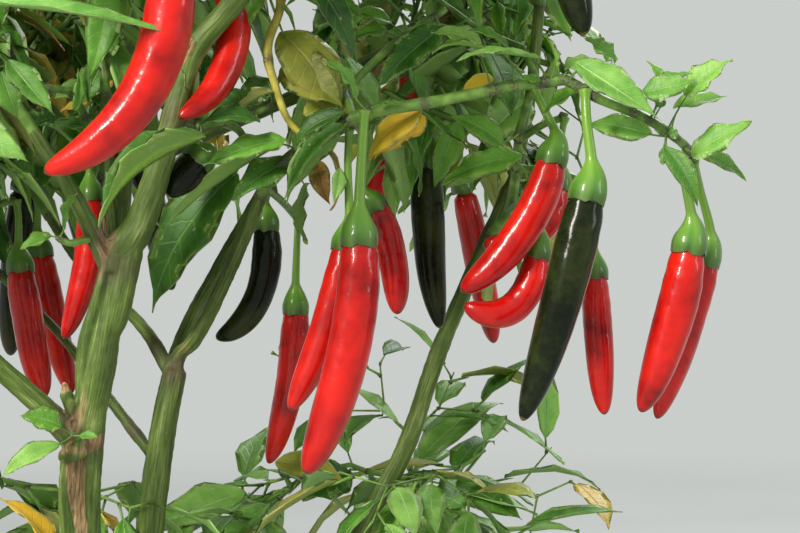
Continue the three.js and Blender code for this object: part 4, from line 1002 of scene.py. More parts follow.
def remeshed(parts, voxel, smooth):
    # tubes grown together into one skin: a voxel remesh of the joined tubes, then smoothed
    points, faces = joined(parts)
    mesh = bpy.data.meshes.new("rough")
    mesh.from_pydata((points * metres).tolist(), [], [face for f in faces for face in f.tolist()])
    piece = bpy.data.objects.new("rough", mesh)
    bpy.context.scene.collection.objects.link(piece)
    skin = piece.modifiers.new("voxels", "REMESH")
    skin.mode = "VOXEL"
    skin.voxel_size = voxel * metres
    rubbed = piece.modifiers.new("rubbed", "SMOOTH")
    rubbed.factor = 0.5
    rubbed.iterations = smooth
    made = bpy.data.meshes.new_from_object(piece.evaluated_get(bpy.context.evaluated_depsgraph_get()))
    bpy.data.objects.remove(piece)
    read = []
    for things, key, width, kind in (
        (made.vertices, "co", 3, np.float32), (made.vertices, "normal", 3, np.float32),
        (made.loops, "vertex_index", 1, np.int32), (made.polygons, "loop_total", 1, np.int32),
    ):
        read.append(np.empty(len(things) * width, kind))
        things.foreach_get(key, read[-1])
    points, normals, loops, counts = read
    starts = np.cumsum(counts) - counts
    faces = [loops[starts[counts == n][:, None] + np.arange(n)] for n in (3, 4)]
    bpy.data.meshes.remove(made)
    return points.reshape(-1, 3) / metres, normals.reshape(-1, 3), [f for f in faces if len(f)]


def roundTheLimbs(points, names):
    # for each point of the skin: how far along the nearest limb it is, the angle round that limb, the limb's
    # radius there, and by how much the next limb is further off
    best = np.full(len(points), 1e9)
    second = np.full(len(points), 1e9)
    along, angle, girth, number = [np.zeros(len(points)) for _ in range(4)]
    for index, name in enumerate(names):
        line = limbs[name]["line"]
        way = unit(np.gradient(line, axis=0))
        firsts = [across(way[0])[0]]
        for w in way[1:]:
            firsts.append(unit(firsts[-1] - w * (firsts[-1] @ w)))
        firsts = np.array(firsts)
        radius = taper(limbs[name]["radius"], len(line))
        for chunk in np.array_split(np.arange(len(points)), max(1, len(points) // 20000)):
            part = points[chunk]
            gaps, places = distances(part, segmentsOf([(line, radius)]))
            pick = gaps.argmin(1)
            rows = np.arange(len(part))
            gap, place = gaps[rows, pick], places[rows, pick]
            outward = part - place
            first = firsts[pick]
            turned = np.arctan2((outward * np.cross(way[pick], first)).sum(-1), (outward * first).sum(-1))
            share = np.linalg.norm(place - line[pick], axis=-1)
            closer = gap < best[chunk]
            second[chunk] = np.where(closer, best[chunk], np.minimum(second[chunk], gap))
            for store, value in (
                (along, pick * np.linalg.norm(line[1] - line[0]) + share), (angle, turned),
                (girth, radius[pick]), (number, index), (best, gap),
            ):
                store[chunk] = np.where(closer, value, store[chunk])
    return along, angle, girth, number, second - best


def scarred(points):
    # how dry and torn the bark is: strength * exp(-(distance from the scar's edge / 1.1)^2)
    worn = np.zeros(len(points))
    for path, reach, strength in scars:
        line = smoothLine(path, 8)
        rows = np.flatnonzero(np.abs(points - line.mean(0)).max(1) < 40)
        off = distances(points[rows], segmentsOf([(line, taper(reach, 9))]))[0].min(1)
        worn[rows] = np.maximum(worn[rows], strength * hump(np.maximum(0, off), 1.1))
    return worn


def stemPiece(pieceName, names, extras, starts, material, voxel):
    # the limbs' tubes grown into one skin: it is lifted by ridges cos(6 angle) that run along it, dents, torn
    # bark and round scars
    parts = []
    for name in names:
        line, girth = limbTube(name, starts, 16)
        parts.append(oneTube(line, girth, 16))
    for name in extras:
        path, radius = stemLumps[name]
        ends = np.sqrt(np.clip(1 - np.linspace(-1, 1, 15) ** 4, 0.15, 1)) if name != "collar" else 1
        parts.append(oneTube(smoothLine(path, 14), taper(radius, 15) * ends, 12))
    points, normals, faces = remeshed(parts, voxel, 5)
    along, angle, girth, number, spare = roundTheLimbs(points, names)
    away = np.clip(spare / 4, 0, 1) # nothing runs on across a fork
    phase = number * 2.4 + 0.5 * np.sin(along / 21 + number)
    rib = np.cos(6 * angle + phase) * 0.7 + 0.3 * np.cos(13 * angle - phase * 2 + along / 40)
    strong = np.clip(girth / 6, 0.35, 1)
    lift = stemSettings["ribs"] * rib * away * strong
    lift += stemSettings["dents"] * waves(points, 17, 3) * strong + 0.1 * waves(points, 5, 4)
    low, high = stemSettings["woodyBelow"]
    joint = np.zeros(len(points))
    for start in starts:
        joint = np.maximum(joint, hump(np.maximum(0, gapTo(start, points) - girth), stemSettings["stained"]))
    worn = scarred(points)
    woody = np.clip((high - points[:, 2]) / (high - low), 0, 1) * 0.75
    woody = np.maximum(np.maximum(woody, 0.45 * hump(spare, stemSettings["cleft"])), worn)
    grain, sunk = stemSettings["torn"]
    lift += grain * worn * waves(points * [1, 1, 0.2], 1.9, 9) - sunk * worn
    hollow = np.zeros(len(points))
    for place, half in eyes:
        off = gapTo(place, points) / half
        lift += half * (0.3 * hump(off - 1, 0.35) - 0.45 * hump(off, 0.55)) # a rim round a pit
        # painted shade: how deep in a scar's pit each point lies, where the bark is darkened near black
        hollow = np.maximum(hollow, 0.85 * hump(off, 0.55, 4))
        woody = np.maximum(woody, 0.9 * hump(off, 1.4, 4))
    points = points + normals * lift[:, None]
    points[:, 2] = np.maximum(points[:, 2], 0)
    run = np.stack([girth * np.cos(angle), girth * np.sin(angle), along + 40 * number], -1)
    values = {"run": run, "woody": woody, "joint": joint, "hollow": hollow}
    makePiece(pieceName, points, faces, material, names, pointValues=values)
    print(pieceName, "has", sum(len(f) * (f.shape[1] - 2) for f in faces), "triangles")


bark = greenBark()
frontNames = ["left_stem", "upper_stem", "left_arm", "upright_arm", "left_side_stem"]
backNames = [name for name in limbs if name not in frontNames]
limbStarts = [limb["line"][0] if "follows" in limb else limb["line"][3] for limb in limbs.values()]
limbStarts += [np.array(mass["at"], float) for mass in masses.values() if "at" in mass]
frontLumps = [name for name in stemLumps if name != "collar"]
stemPiece("frontStems", frontNames, frontLumps, limbStarts, bark, voxel=0.52)
stemPiece("backStems", backNames, ["collar"], limbStarts, bark, voxel=0.95)


# Twigs, petioles and leaves

def twigSkin(name, deep, green, light):
    # young twigs and petioles: smooth bright green skin with a faint waxy shine, darker at the joints; an old
    # one turns yellow first
    material, add, feed, place = newMaterial(name, {
        "Roughness": 0.42, "IOR": 1.45, "Specular IOR Level": 0.4,
    })
    joint = add("Attribute", {"attribute_name": "joint"}).outputs["Fac"]
    patches = add("TexNoise", {"Scale": 160, "Detail": 4}, {"Vector": place}) # about 6 mm across
    grain = add("TexNoise", {"Scale": 1500, "Detail": 2}, {"Vector": place}) # about 0.7 mm
    green = add("ValToRGB", {"stops": [(0.3, deep), (0.5, green), (0.7, light)]}, {0: patches})
    stained = add("Math", {"operation": "MULTIPLY"}, {0: joint, 1: grain})
    stained = add("MapRange", {**soft, 1: 0.14, 2: 0.5, 4: 0.85}, {0: stained})
    skin = add("Mix", {**colours, 7: "#45353a"}, {0: stained, 6: green})
    bump = add("Bump", {"Strength": 0.3, "Distance": 0.15 * metres}, {"Height": grain})
    feed({"Base Color": skin, "Normal": bump})
    return material


# Each leaf finish: upper face dark and light, underside, veins, margin
leafTints = {
    "dark": ("#1f4014", "#3a6b22", "#749a4e", "#78a052", "#9dbd6c"),
    "mid": ("#33601b", "#5f9632", "#8db25a", "#90b65f", "#aecb77"),
    "pale": ("#4d822f", "#7fae52", "#9cc376", "#acce80", "#c4d99c"),
    "olive": ("#6b7626", "#9a9a3e", "#a2a962", "#b2b062", "#bfb97c"),
    "yellow": ("#b39a2a", "#deb032", "#c8b458", "#c0b04c", "#dfc468"),
    "dry": ("#6b4520", "#a2733a", "#9c7c4e", "#7a5630", "#ab8855"),
}


def leafBlade(kind):
    # a pepper leaf's blade: satin on its upper face with sunken pale veins and quilted between them, matt and
    # paler below, with a thin pale margin
    deep, light, under, vein, margin = leafTints[kind]
    material, add, feed, place = newMaterial(kind + "Leaf", {
        "IOR": 1.45, "Specular IOR Level": 0.4,
        "Subsurface Weight": 0.3, "Subsurface Radius": (0.7, 1.0, 0.25), "Subsurface Scale": 0.0015,
    })
    parts = add("SeparateXYZ", links={0: add("UVMap", {"uv_map": "leafUv"}).outputs[0]})
    below, shade = [
        add("Attribute", {"attribute_name": key}).outputs["Fac"] for key in ("underside", "shade")
    ]
    fromMid = add("Math", {"operation": "SUBTRACT", 1: 0.5}, {0: parts.outputs[0]})
    fromMid = add("Math", {"operation": "ABSOLUTE"}, {0: fromMid})
    midrib = add("MapRange", {**soft, 2: 0.035, 3: 1, 4: 0}, {0: fromMid})
    edge = add("MapRange", {**soft, 1: 0.455, 2: 0.5}, {0: fromMid})
    # side veins: seven pairs that leave the midrib and curve up towards the tip
    count = add("Math", {"operation": "MULTIPLY", 1: 7.0}, {0: parts.outputs[1]})
    slope = add("Math", {"operation": "MULTIPLY_ADD", 1: -1.9}, {0: fromMid, 2: count})
    wander = add("TexNoise", {"Scale": 120, "Detail": 2}, {"Vector": place})
    slope = add("Math", {"operation": "MULTIPLY_ADD", 1: 0.7}, {0: wander, 2: slope})
    wave = add("Math", {"operation": "PINGPONG", 1: 0.5}, {0: slope})
    veins = add("MapRange", {**soft, 2: 0.09, 3: 1, 4: 0}, {0: wave})
    patches = add("TexNoise", {"Scale": 110, "Detail": 5, "Roughness": 0.6}, {"Vector": place})
    tone = add("Math", {"operation": "MULTIPLY_ADD", 1: 1.0}, {0: patches, 2: shade})
    upper = add("ValToRGB", {"stops": [(0.3, deep), (0.72, light)]}, {0: tone})
    ribs = add("Math", {"operation": "MULTIPLY_ADD", 1: 0.3}, {0: veins, 2: midrib})
    seen = add("Math", {"operation": "MULTIPLY", 1: 0.55, "use_clamp": True}, {0: ribs})
    upper = add("Mix", {**colours, 7: vein}, {0: seen, 6: upper})
    lower = add("Mix", {**colours, 6: under, 7: vein}, {0: seen})
    lower = add("Mix", {**colours, "blend_type": "MULTIPLY", 0: 0.3}, {6: lower, 7: upper})
    blade = add("Mix", colours, {0: below, 6: upper, 7: lower})
    rim = add("Math", {"operation": "MULTIPLY", 1: 0.5}, {0: edge})
    blade = add("Mix", {**colours, 7: margin}, {0: rim, 6: blade})
    specks = add("TexNoise", {"Scale": 420, "Detail": 1}, {"Vector": place}) # about 2 mm apart
    specks = add("MapRange", {**soft, 1: 0.73, 2: 0.8, 4: 0.5}, {0: specks})
    blade = add("Mix", {**colours, 7: "#c9c98a"}, {0: specks, 6: blade})
    matt = add("Math", {"operation": "MULTIPLY_ADD", 1: 0.24}, {0: below, 2: patches})
    gloss = add("MapRange", {1: 0.2, 2: 0.9, 3: 0.34, 4: 0.68}, {0: matt})
    sunk = add("Math", {"operation": "MULTIPLY_ADD", 1: -1.0}, {0: ribs, 2: patches})
    bump = add("Bump", {"Strength": 0.6, "Distance": 0.5 * metres}, {"Height": sunk})
    feed({"Base Color": blade, "Roughness": gloss, "Normal": bump})
    return material


def leafTemplate(rings, columns):
    # one closed blade: its base and tip, a grid of rings x columns on top, and below it the same grid without
    # the two edges, which both sheets share
    top = 2 + np.arange(rings * columns).reshape(rings, columns)
    under = top.copy()
    under[:, 1:-1] = 2 + rings * columns + np.arange(rings * (columns - 2)).reshape(rings, columns - 2)
    quads, ends = [], []
    for grid, flip in ((top, 1), (under, -1)):
        quad = np.stack([grid[:-1, :-1], grid[1:, :-1], grid[1:, 1:], grid[:-1, 1:]], -1).reshape(-1, 4)
        start = np.stack([np.zeros(columns - 1, int), grid[0, :-1], grid[0, 1:]], -1)
        finish = np.stack([np.ones(columns - 1, int), grid[-1, 1:], grid[-1, :-1]], -1)
        quads.append(quad[:, ::flip])
        ends.append(np.vstack([start, finish])[:, ::flip])
    underside = [np.repeat([0, 1], len(quads[0])), np.repeat([0, 1], len(ends[0]))]
    s = (1 - np.cos(np.pi * np.linspace(0.045, 0.975, rings))) / 2
    return s, np.linspace(-1, 1, columns), np.vstack(quads), np.vstack(ends), underside


bladeSettings = {
    "shape": (0.78, 1.25), # width = s^0.78 (1 - s)^1.25: round at the base, drawn out at the tip
    "thickness": 0.34, "keel": 0.35, # the keel is how far the midrib stands out below
    "arch": (0.02, 0.08), # least and more, as a share of the length
    "curl": (-0.05, 0.18), "bend": (-0.06, 0.12), "twist": (-14, 28), # degrees
    "wave": (0.02, 0.07), "roll": (0.05, 0.22),
}


def bladeSheets(leaves, rings, columns, seed):
    # blades: point = base + way L s + side (u w(s) cos fold) + normal (|u| w sin fold - roll u^4 w
    #   + L (arch 4 s (1 - s) + curl 4 s^2 (1 - s)) + wavy edge), then turned about its midrib by twist
    s, u, quads, ends, underside = leafTemplate(rings, columns)
    deal = np.random.default_rng(seed)
    n = len(leaves)
    base, tip, normal = [np.array([leaf[key] for leaf in leaves]) for key in ("base", "tip", "normal")]
    width, fold = [np.array([float(leaf[key]) for leaf in leaves])[:, None, None]
                   for key in ("width", "fold")]
    length = np.linalg.norm(tip - base, axis=1)[:, None, None]
    way = unit(tip - base)
    side = unit(np.cross(normal, way))
    normal = np.cross(way, side)
    dealt = {key: ranging(bladeSettings[key], deal.random((n, 1, 1)))
             for key in ("arch", "curl", "bend", "twist", "wave", "roll")}
    rise, fall = bladeSettings["shape"]
    peak = rise / (rise + fall)
    S, U = s[None, :, None], u[None, None, :]
    half = width / 2 * (S**rise * (1 - S) ** fall) / (peak**rise * (1 - peak) ** fall)
    fold = np.radians(fold)
    often = 2 * np.pi * (2.2 + deal.random((n, 1, 1)))
    ripple = np.sin(often * S + 6.3 * deal.random((n, 1, 1)) + U * 1.3)
    out = U * half * np.cos(fold) + length * dealt["bend"] * 4 * S * (1 - S)
    up = np.abs(U) * half * np.sin(fold) * (1 - 0.25 * np.abs(U)) - dealt["roll"] * U**4 * half
    up = up + ripple * np.abs(U) ** 2.5 * dealt["wave"] * width
    angle = np.radians(dealt["twist"]) * (S - 0.3)
    out, up = out * np.cos(angle) - up * np.sin(angle), out * np.sin(angle) + up * np.cos(angle)
    up = up + length * (dealt["arch"] * 4 * S * (1 - S) + dealt["curl"] * 4 * S**2 * (1 - S))
    base, tip, way, side, normal = [v[:, None, None] for v in (base, tip, way, side, normal)]
    top = base + way * (length * S)[..., None] + side * out[..., None] + normal * up[..., None]
    keel = bladeSettings["keel"] * hump(U, 0.16) * (1 - S)
    thick = (bladeSettings["thickness"] * (1 - U**2) + keel) * np.clip(length / 40, 0.5, 1)
    under = (top - normal * thick[..., None])[:, :, 1:-1]
    points = np.concatenate([part.reshape(n, -1, 3) for part in (base, tip, top, under)], axis=1)
    grid = np.stack(np.broadcast_arrays((U[0] + 1) / 2, S[0]), -1)
    uv = np.vstack([[[0.5, 0], [0.5, 1]], grid.reshape(-1, 2), grid[:, 1:-1].reshape(-1, 2)])
    return points, uv, quads, ends, underside


def leafPiece(name, leaves, rings, columns, material, seed):
    # leaves joined into one piece; one that would reach out of the plant's box is drawn in towards its base
    for _ in range(6):
        points, uv, quads, ends, underside = bladeSheets(leaves, rings, columns, seed)
        over = ((points < cadLow + 0.3) | (points > cadHigh - 0.3)).any((1, 2))
        if not over.any():
            break
        shrink = 0.85
        for leaf in [leaf for leaf, out in zip(leaves, over) if out]:
            leaf["tip"] = leaf["base"] + (leaf["tip"] - leaf["base"]) * shrink
            leaf["width"] = leaf["width"] * shrink
    points = points[~over]
    n, each = points.shape[:2]
    step = (np.arange(n) * each)[:, None, None]
    faces = [(quads + step).reshape(-1, 4), (ends + step).reshape(-1, 3)]
    shade = np.random.default_rng(seed + 1).uniform(-0.16, 0.2, n)
    makePiece(
        name, points.reshape(-1, 3), faces, material, list(masses), uv=np.tile(uv, (n, 1)),
        pointValues={"shade": np.repeat(shade, each)},
        faceValues={"underside": np.concatenate([np.tile(values, n) for values in underside])},
    )
    print(name, "has", n, "leaves")


twigSettings = {
    "spacing": 1.3, "sides": 10, "ribs": 0.05,
    "root": 2.5, # how far along a twig is swollen at its own root
    "node": (0.8, 2.4), # how much of that there is where a leaf or a fruit leaves it, and how far along
    "near": 1.5, # how far off a leaf's root may be and still be one of the twig's
    "end": 0.7, # what is left of the radius at the very end
}


def nearTwig(line, radius, roots, swell=0.3):
    # a near twig: its tube swells at its own root and wherever a leaf or a fruit leaves it
    long = steps(line).sum()
    count = max(6, int(long / twigSettings["spacing"]))
    smooth = smoothLine(line, count)
    girth = np.interp(np.linspace(0, 1, count + 1), np.linspace(0, 1, len(radius)), radius)
    along = np.linspace(0, long, count + 1)
    joint = hump(along, twigSettings["root"])
    much, width = twigSettings["node"]
    for root in roots:
        gap = gapTo(root, smooth)
        if gap.min() < girth.max() + twigSettings["near"]:
            joint = np.maximum(joint, much * hump(gap - gap.min(), width))
    girth = girth * (1 + swell * joint)
    girth[-1] *= twigSettings["end"]
    sides = twigSettings["sides"]
    ribs = 1 + twigSettings["ribs"] * np.cos(5 * turnsOf(sides))
    points, faces = oneTube(smooth, girth[:, None] * ribs, sides)
    return points, faces, ringValues(joint[None], sides)


# A leaf's stalk: its radius, and more at its foot, the share by which it thins into the blade, the length of
# the leaf for which this is right, and the least and most that other leaves have of it
petioleSettings = {"radius": 0.62, "foot": 0.5, "thinned": 0.75, "leaf": 45, "size": (0.5, 1.1)}


def petioles(leaves, rings, sides):
    # the leaves' stalks: a parabola from the twig to the blade, whose radius is
    # (radius + foot (1 - s)^6) size (1 - thinned s^8)
    root, base, tip = [np.array([leaf[key] for leaf in leaves]) for key in ("root", "base", "tip")]
    s = np.linspace(0, 1, rings)[None, :, None]
    long = gapTo(base, tip)[:, None]
    end = base + unit(tip - base) * np.minimum(4, long * 0.12)
    bend = (root + base) / 2 + unit(base - tip) * 1.2 + [0, 0, -0.4]
    line = arc(root[:, None], bend[:, None], end[:, None], s)
    s = s[..., 0]
    size = np.clip(long / petioleSettings["leaf"], *petioleSettings["size"])
    radius = (petioleSettings["radius"] + petioleSettings["foot"] * (1 - s) ** 6) * size
    points, faces = manyTubes(line, radius * (1 - petioleSettings["thinned"] * s**8), sides)
    joint = np.repeat((1 - s) ** 8, len(leaves), axis=0)
    return points, faces, ringValues(joint, sides)


# How the finishes are dealt out among the ruled leaves: the share up to which each goes
kindShares = {"mid": 0.42, "dark": 0.52, "pale": 0.87, "olive": 0.95, "yellow": 0.99, "dry": 1}
foliage = {"twigs": [], "leaves": [], "fruits": []}
for name, mass in masses.items():
    if "levels" in mass:
        found = grow(name, mass, barriers)
        deal = seeded(mass["seed"] + 3)
        for leaf in found["leaves"]:
            share = deal()
            leaf["kind"] = next(kind for kind, most in kindShares.items() if share < most)
        for key, value in found.items():
            foliage[key] += value
print("the masses have", {key: len(value) for key, value in foliage.items()})

# The near leaves' finishes, and the size and turn of those that the picture shows wider or flatter
nearKinds = {
    "right_spray": "dark dark mid dark yellow dark pale mid pale mid mid dry dark mid yellow mid olive",
    "far_right_spray": "pale pale mid mid pale pale pale pale pale pale mid dark pale mid",
    "inner_spray": "dark dark olive mid dark mid", "left_spray": "pale mid pale mid mid pale pale mid mid",
    "top_front": "dark dark mid mid olive mid", "knot_shoot": "mid pale mid", "low_left": "yellow",
}
nearLooks = {
    ("inner_spray", 0): {"width": 33, "fold": 74, "face": 14},
    ("right_spray", 0): {"width": 18, "fold": 68, "face": 42, "tip": [65, -84, 322]},
    ("left_spray", 5): {"width": 12, "fold": 40, "face": 28, "tip": [36, -159, 371]},
    ("far_right_spray", 11): {"width": 10, "fold": 35, "face": 70},
}
for name, kinds in nearKinds.items():
    for leaf, kind in zip(masses[name]["near"], kinds.split()):
        leaf["kind"] = kind
for (name, number), look in nearLooks.items():
    leaf = masses[name]["near"][number]
    leaf["tip"] = np.array(look.get("tip", leaf["tip"]), float)
    normal = faceNormal(leaf["base"], leaf["tip"], look["face"])
    leaf.update(width=look["width"], fold=look["fold"], normal=normal)

# Leaves that the picture shows further in: the pixels of base and tip, the depth y and the width in
# millimetres, how far they face the viewer, and the finish
seenLeaves = [
    [(116, 28), (88, 72), -42, 13, 70, "mid"], [(90, 64), (91, 107), -58, 6, 60, "dark"],
    [(84, 84), (54, 98), -35, 10, 50, "pale"], [(112, 80), (96, 92), -25, 7, 50, "yellow"],
    [(92, 100), (60, 112), -25, 7, 40, "yellow"], [(92, 128), (50, 126), -55, 8, 40, "dark"],
    [(60, 118), (28, 128), -50, 8, 40, "dark"], [(35, 175), (5, 165), -30, 12, 50, "mid"],
    [(288, 140), (203, 166), -66, 13, 45, "mid"], [(290, 160), (232, 200), -55, 15, 55, "dark"],
    [(284, 62), (342, 106), -50, 21, 65, "olive"], [(318, 160), (330, 205), -48, 9, 60, "dry"],
    [(340, 168), (333, 203), -60, 6, 60, "pale"], [(392, 22), (350, 14), -30, 10, 50, "mid"],
    [(388, 30), (350, 40), -30, 10, 50, "mid"], [(541, 81), (518, 77), -78, 5, 50, "mid"],
    [(497, 2), (502, 38), 0, 8, 60, "dark"], [(530, 100), (485, 148), 10, 20, 60, "pale"],
    [(425, 116), (374, 160), -40, 17, 55, "yellow"], [(270, 78), (238, 112), -58, 12, 60, "dark"],
    [(258, 96), (200, 128), -50, 14, 50, "dark"], [(245, 493), (142, 532), 40, 20, 50, "pale"],
    [(275, 462), (345, 482), 40, 15, 50, "olive"], [(372, 495), (415, 531), 40, 13, 60, "olive"],
    [(350, 470), (302, 500), 55, 20, 55, "dark"], [(455, 482), (522, 520), 60, 18, 55, "mid"],
]
view = {"at": (105, -770, 300), "lens": 90, "sensor": 36, "size": (800, 533)}


def seenAt(pixel, depth):
    # the place behind a pixel of the photograph at a depth y: sideways and up by its distance from the
    # picture's middle, times sensor / lens / width for each millimetre away
    scale = (depth - view["at"][1]) * view["sensor"] / view["lens"] / view["size"][0]
    aside, down = [(pixel[i] - view["size"][i] / 2) * scale for i in (0, 1)]
    return np.array([view["at"][0] + aside, depth, view["at"][2] - down])


def seenLeaf(base, tip, depth, width, face, kind):
    # a leaf by its pixels; where the nearest wood is far, a thin twig grows out to its petiole
    base, tip = seenAt(base, depth), seenAt(tip, depth - width * 0.4)
    root = nearest(base, wood)
    apart = base - root
    far = np.linalg.norm(apart)
    if far > sizes["petiole"] * 1.6:
        foot = base - unit(apart + [0, 0, 3]) * sizes["petiole"] * 0.8
        extraTwigs.append(np.array([root, (root + foot) / 2 + [0, 0, far * 0.06], foot]))
        root = foot
    return leafOf(root, base, tip, width, faceNormal(base, tip, face), 28, kind)


extraTwigs = []
wood = limbLines + [line for mass in masses.values() for line in mass["lines"]]
wood += [(np.array(t["points"]), taper(t["radius"], len(t["points"]))) for t in foliage["twigs"]]
wood = segmentsOf(wood)
nearLeaves = [leaf for mass in masses.values() for leaf in mass["near"]]
nearLeaves += [seenLeaf(*entry) for entry in seenLeaves]
nearRoots = [np.array(held["root"], float) for held in nearLeaves + list(fruits.values())]
twig = twigSkin("greenTwig", "#476a24", "#618737", "#83a64e")
woods = []
for mass in masses.values():
    for number, (line, radius) in enumerate(mass["lines"]):
        if number == 0: # a mass's own stem starts inside the limb that carries it
            line = np.vstack([line[0] - unit(line[1] - line[0]) * 4, line])
            radius = np.concatenate([radius[:1], radius])
        woods.append(nearTwig(line, radius, nearRoots, 0.12 if number == 0 else 0.3))
woods += [nearTwig(line, [1.1, 0.7], nearRoots) for line in extraTwigs]
points, faces, joint = joined(woods)
makePiece("nearTwigs", points, faces, twig, list(masses), pointValues={"joint": joint})
ruled = [smoothLine(t["points"], 9) for t in foliage["twigs"]]
radii = np.array([taper(t["radius"], 10) for t in foliage["twigs"]])
radii[:, 0] *= 1.25 # swollen where it leaves the twig before
points, faces = manyTubes(ruled, radii, 6)
joint = np.zeros((len(ruled), 10))
joint[:, 0] = 1
makePiece("twigs", points, faces, twig, list(masses), pointValues={"joint": ringValues(joint, 6)})
for title, leaves, rings, sides in (
    ("petioles", foliage["leaves"], 4, 5), ("nearPetioles", nearLeaves, 9, 8),
):
    points, faces, joint = petioles(leaves, rings, sides)
    makePiece(title, points, faces, twig, list(masses), pointValues={"joint": joint})

# An old twig that has turned yellow, and flower buds, by pixels and depths as the leaves are
oldTwig = {
    "path": [(281, -5), (279, 12), (269, 40), (268, 60), (274, 82), (284, 112), (291, 124)],
    "depth": -62, "radius": [1.6, 1.5, 1.1],
}
buds = {
    "seen": [((657, 104), -86), ((671, 128), -84), ((664, 148), -85), ((655, 118), -80)],
    "half": 1.5, "long": 7, "stalk": 0.45,
    "every": 55, # how many ruled twigs go by before one bears a bud
}


def budOn(root, base, tip):
    # a flower bud on its stalk: radius = stalk + half sin(pi s)^0.8 over its length, drawn out to a point
    s = np.linspace(0, 1, 10)
    stalk = smoothLine([root, base - [0, 0, 0.3], base], 5)[:-1]
    body = buds["stalk"] * (1 - s) + buds["half"] * np.sin(np.pi * s) ** 0.8
    line = np.vstack([stalk, base + (tip - base) * s[:, None]])
    return oneTube(line, np.concatenate([np.full(5, buds["stalk"]), body]), 8)


def budSkin():
    # a closed flower bud: deep green sepals, mottled with paler patches
    material, add, feed, place = newMaterial("budSkin", {
        "Roughness": 0.45, "IOR": 1.45, "Specular IOR Level": 0.4,
    })
    patches = add("TexNoise", {"Scale": 400, "Detail": 3}, {"Vector": place}) # about 2.5 mm across
    stops = [(0.35, "#2f5a24"), (0.55, "#4f7d33"), (0.72, "#b8c48a")]
    green = add("ValToRGB", {"stops": stops}, {0: patches})
    bump = add("Bump", {"Strength": 0.4, "Distance": 0.2 * metres}, {"Height": patches})
    feed({"Base Color": green, "Normal": bump})
    return material


path = np.array([seenAt(pixel, oldTwig["depth"]) for pixel in oldTwig["path"]])
path = np.vstack([path, nearest(path[-1], wood)])
points, faces, joint = nearTwig(path, oldTwig["radius"], path[3:4])
yellowed = twigSkin("oldTwig", "#7d7a2c", "#a39b3c", "#c5bb60")
makePiece("oldTwig", points, faces, yellowed, ["top_front"], pointValues={"joint": joint})
parts = []
for pixel, depth in buds["seen"]:
    base = seenAt(pixel, depth)
    root = nearest(base, wood)
    parts.append(budOn(root, base, base + unit(base - root + [0, -2, -5]) * buds["long"]))
for twigLine in ruled[::buds["every"]]:
    end = twigLine[-1]
    out = unit(end - twigLine[-2] - [0, 0, 0.6])
    parts.append(budOn(end - out, end + out * 2, end + out * (2 + buds["long"] * 0.8)))
points, faces = joined([part for part in parts if inBox(part[0], 0.5)])
makePiece("flowerBuds", points, faces, budSkin(), list(masses))
for seed, kind in enumerate(leafTints):
    blade = leafBlade(kind)
    for title, leaves, rings, columns in (
        ("nearLeaves", nearLeaves, 15, 9), ("leaves", foliage["leaves"], 7, 5),
    ):
        some = [leaf for leaf in leaves if leaf["kind"] == kind]
        if some:
            leafPiece(kind + title[0].upper() + title[1:], some, rings, columns, blade, 100 + seed * 7)


# Fruit

# The two skins: their gloss, the noises that mottle and pit them, and their colours, at the neck and tip too
podLooks = {
    "ripeSkin": {
        "shader": {
            "Specular IOR Level": 0.3, "Coat Weight": 0.75, "Coat IOR": 1.36, "Subsurface Weight": 0.06,
        },
        "noises": ({"Scale": 60, "Detail": 4}, {"Scale": 300, "Detail": 4, "Roughness": 0.45}), # 16 and 3 mm
        "speckled": 0.15, "stops": [(0.36, "#740303"), (0.5, "#ad0906"), (0.68, "#cb1609")],
        "neck": (0.09, "#7a0a06"), "end": (0.975, 0.992, "#4a2312"), "rough": (0.28, 0.4),
        "pitted": 0.4, "bump": 0.9,
    },
    "unripeSkin": {
        "shader": {"Specular IOR Level": 0.08, "Coat Weight": 0.7, "Coat IOR": 1.3},
        "noises": ({"Scale": 55, "Detail": 5}, {"Scale": 520, "Detail": 4, "Roughness": 0.65}), # 18 and 2 mm
        "speckled": 0.3, "stops": [(0.42, "#090f05"), (0.6, "#12190a"), (0.78, "#283211"), (0.92, "#3d3015")],
        "neck": (0.12, "#0b0f0c"), "end": (0.98, 0.993, "#7d6038"), "rough": (0.2, 0.36),
        "pitted": 0.2, "bump": 0.4,
    },
}


def podSkin(name):
    # a pepper's skin: thin, taut and waxed like fresh lacquer. Ripe it is scarlet with a deeper red blush,
    # and before that green so dark that it is nearly black, mottled olive and brown
    look = podLooks[name]
    material, add, feed, place = newMaterial(name, {
        "IOR": 1.4, "Coat Roughness": 0.1, "Subsurface Radius": (1.0, 0.15, 0.08), "Subsurface Scale": 0.002,
        **look["shader"],
    })
    down = add("Attribute", {"attribute_name": "down"}).outputs["Fac"]
    patches, fine = [add("TexNoise", noise, {"Vector": place}) for noise in look["noises"]]
    tone = add("Math", {"operation": "MULTIPLY_ADD", 1: look["speckled"]}, {0: fine, 2: patches})
    colour = add("ValToRGB", {"stops": look["stops"]}, {0: tone})
    reach, deep = look["neck"]
    neck = add("MapRange", {**soft, 2: reach, 3: 0.5, 4: 0}, {0: down})
    colour = add("Mix", {**colours, 7: deep}, {0: neck, 6: colour})
    low, high, brown = look["end"]
    end = add("MapRange", {**soft, 1: low, 2: high, 4: 0.8}, {0: down})
    colour = add("Mix", {**colours, 7: brown}, {0: end, 6: colour})
    smooth, dull = look["rough"]
    gloss = add("MapRange", {1: 0.3, 2: 0.75, 3: smooth, 4: dull}, {0: patches})
    pores = add("Math", {"operation": "MULTIPLY_ADD", 1: look["pitted"]}, {0: fine, 2: patches})
    bump = add("Bump", {"Strength": look["bump"], "Distance": 0.6 * metres}, {"Height": pores})
    feed({"Base Color": colour, "Roughness": gloss, "Normal": bump, "Coat Normal": bump})
    return material


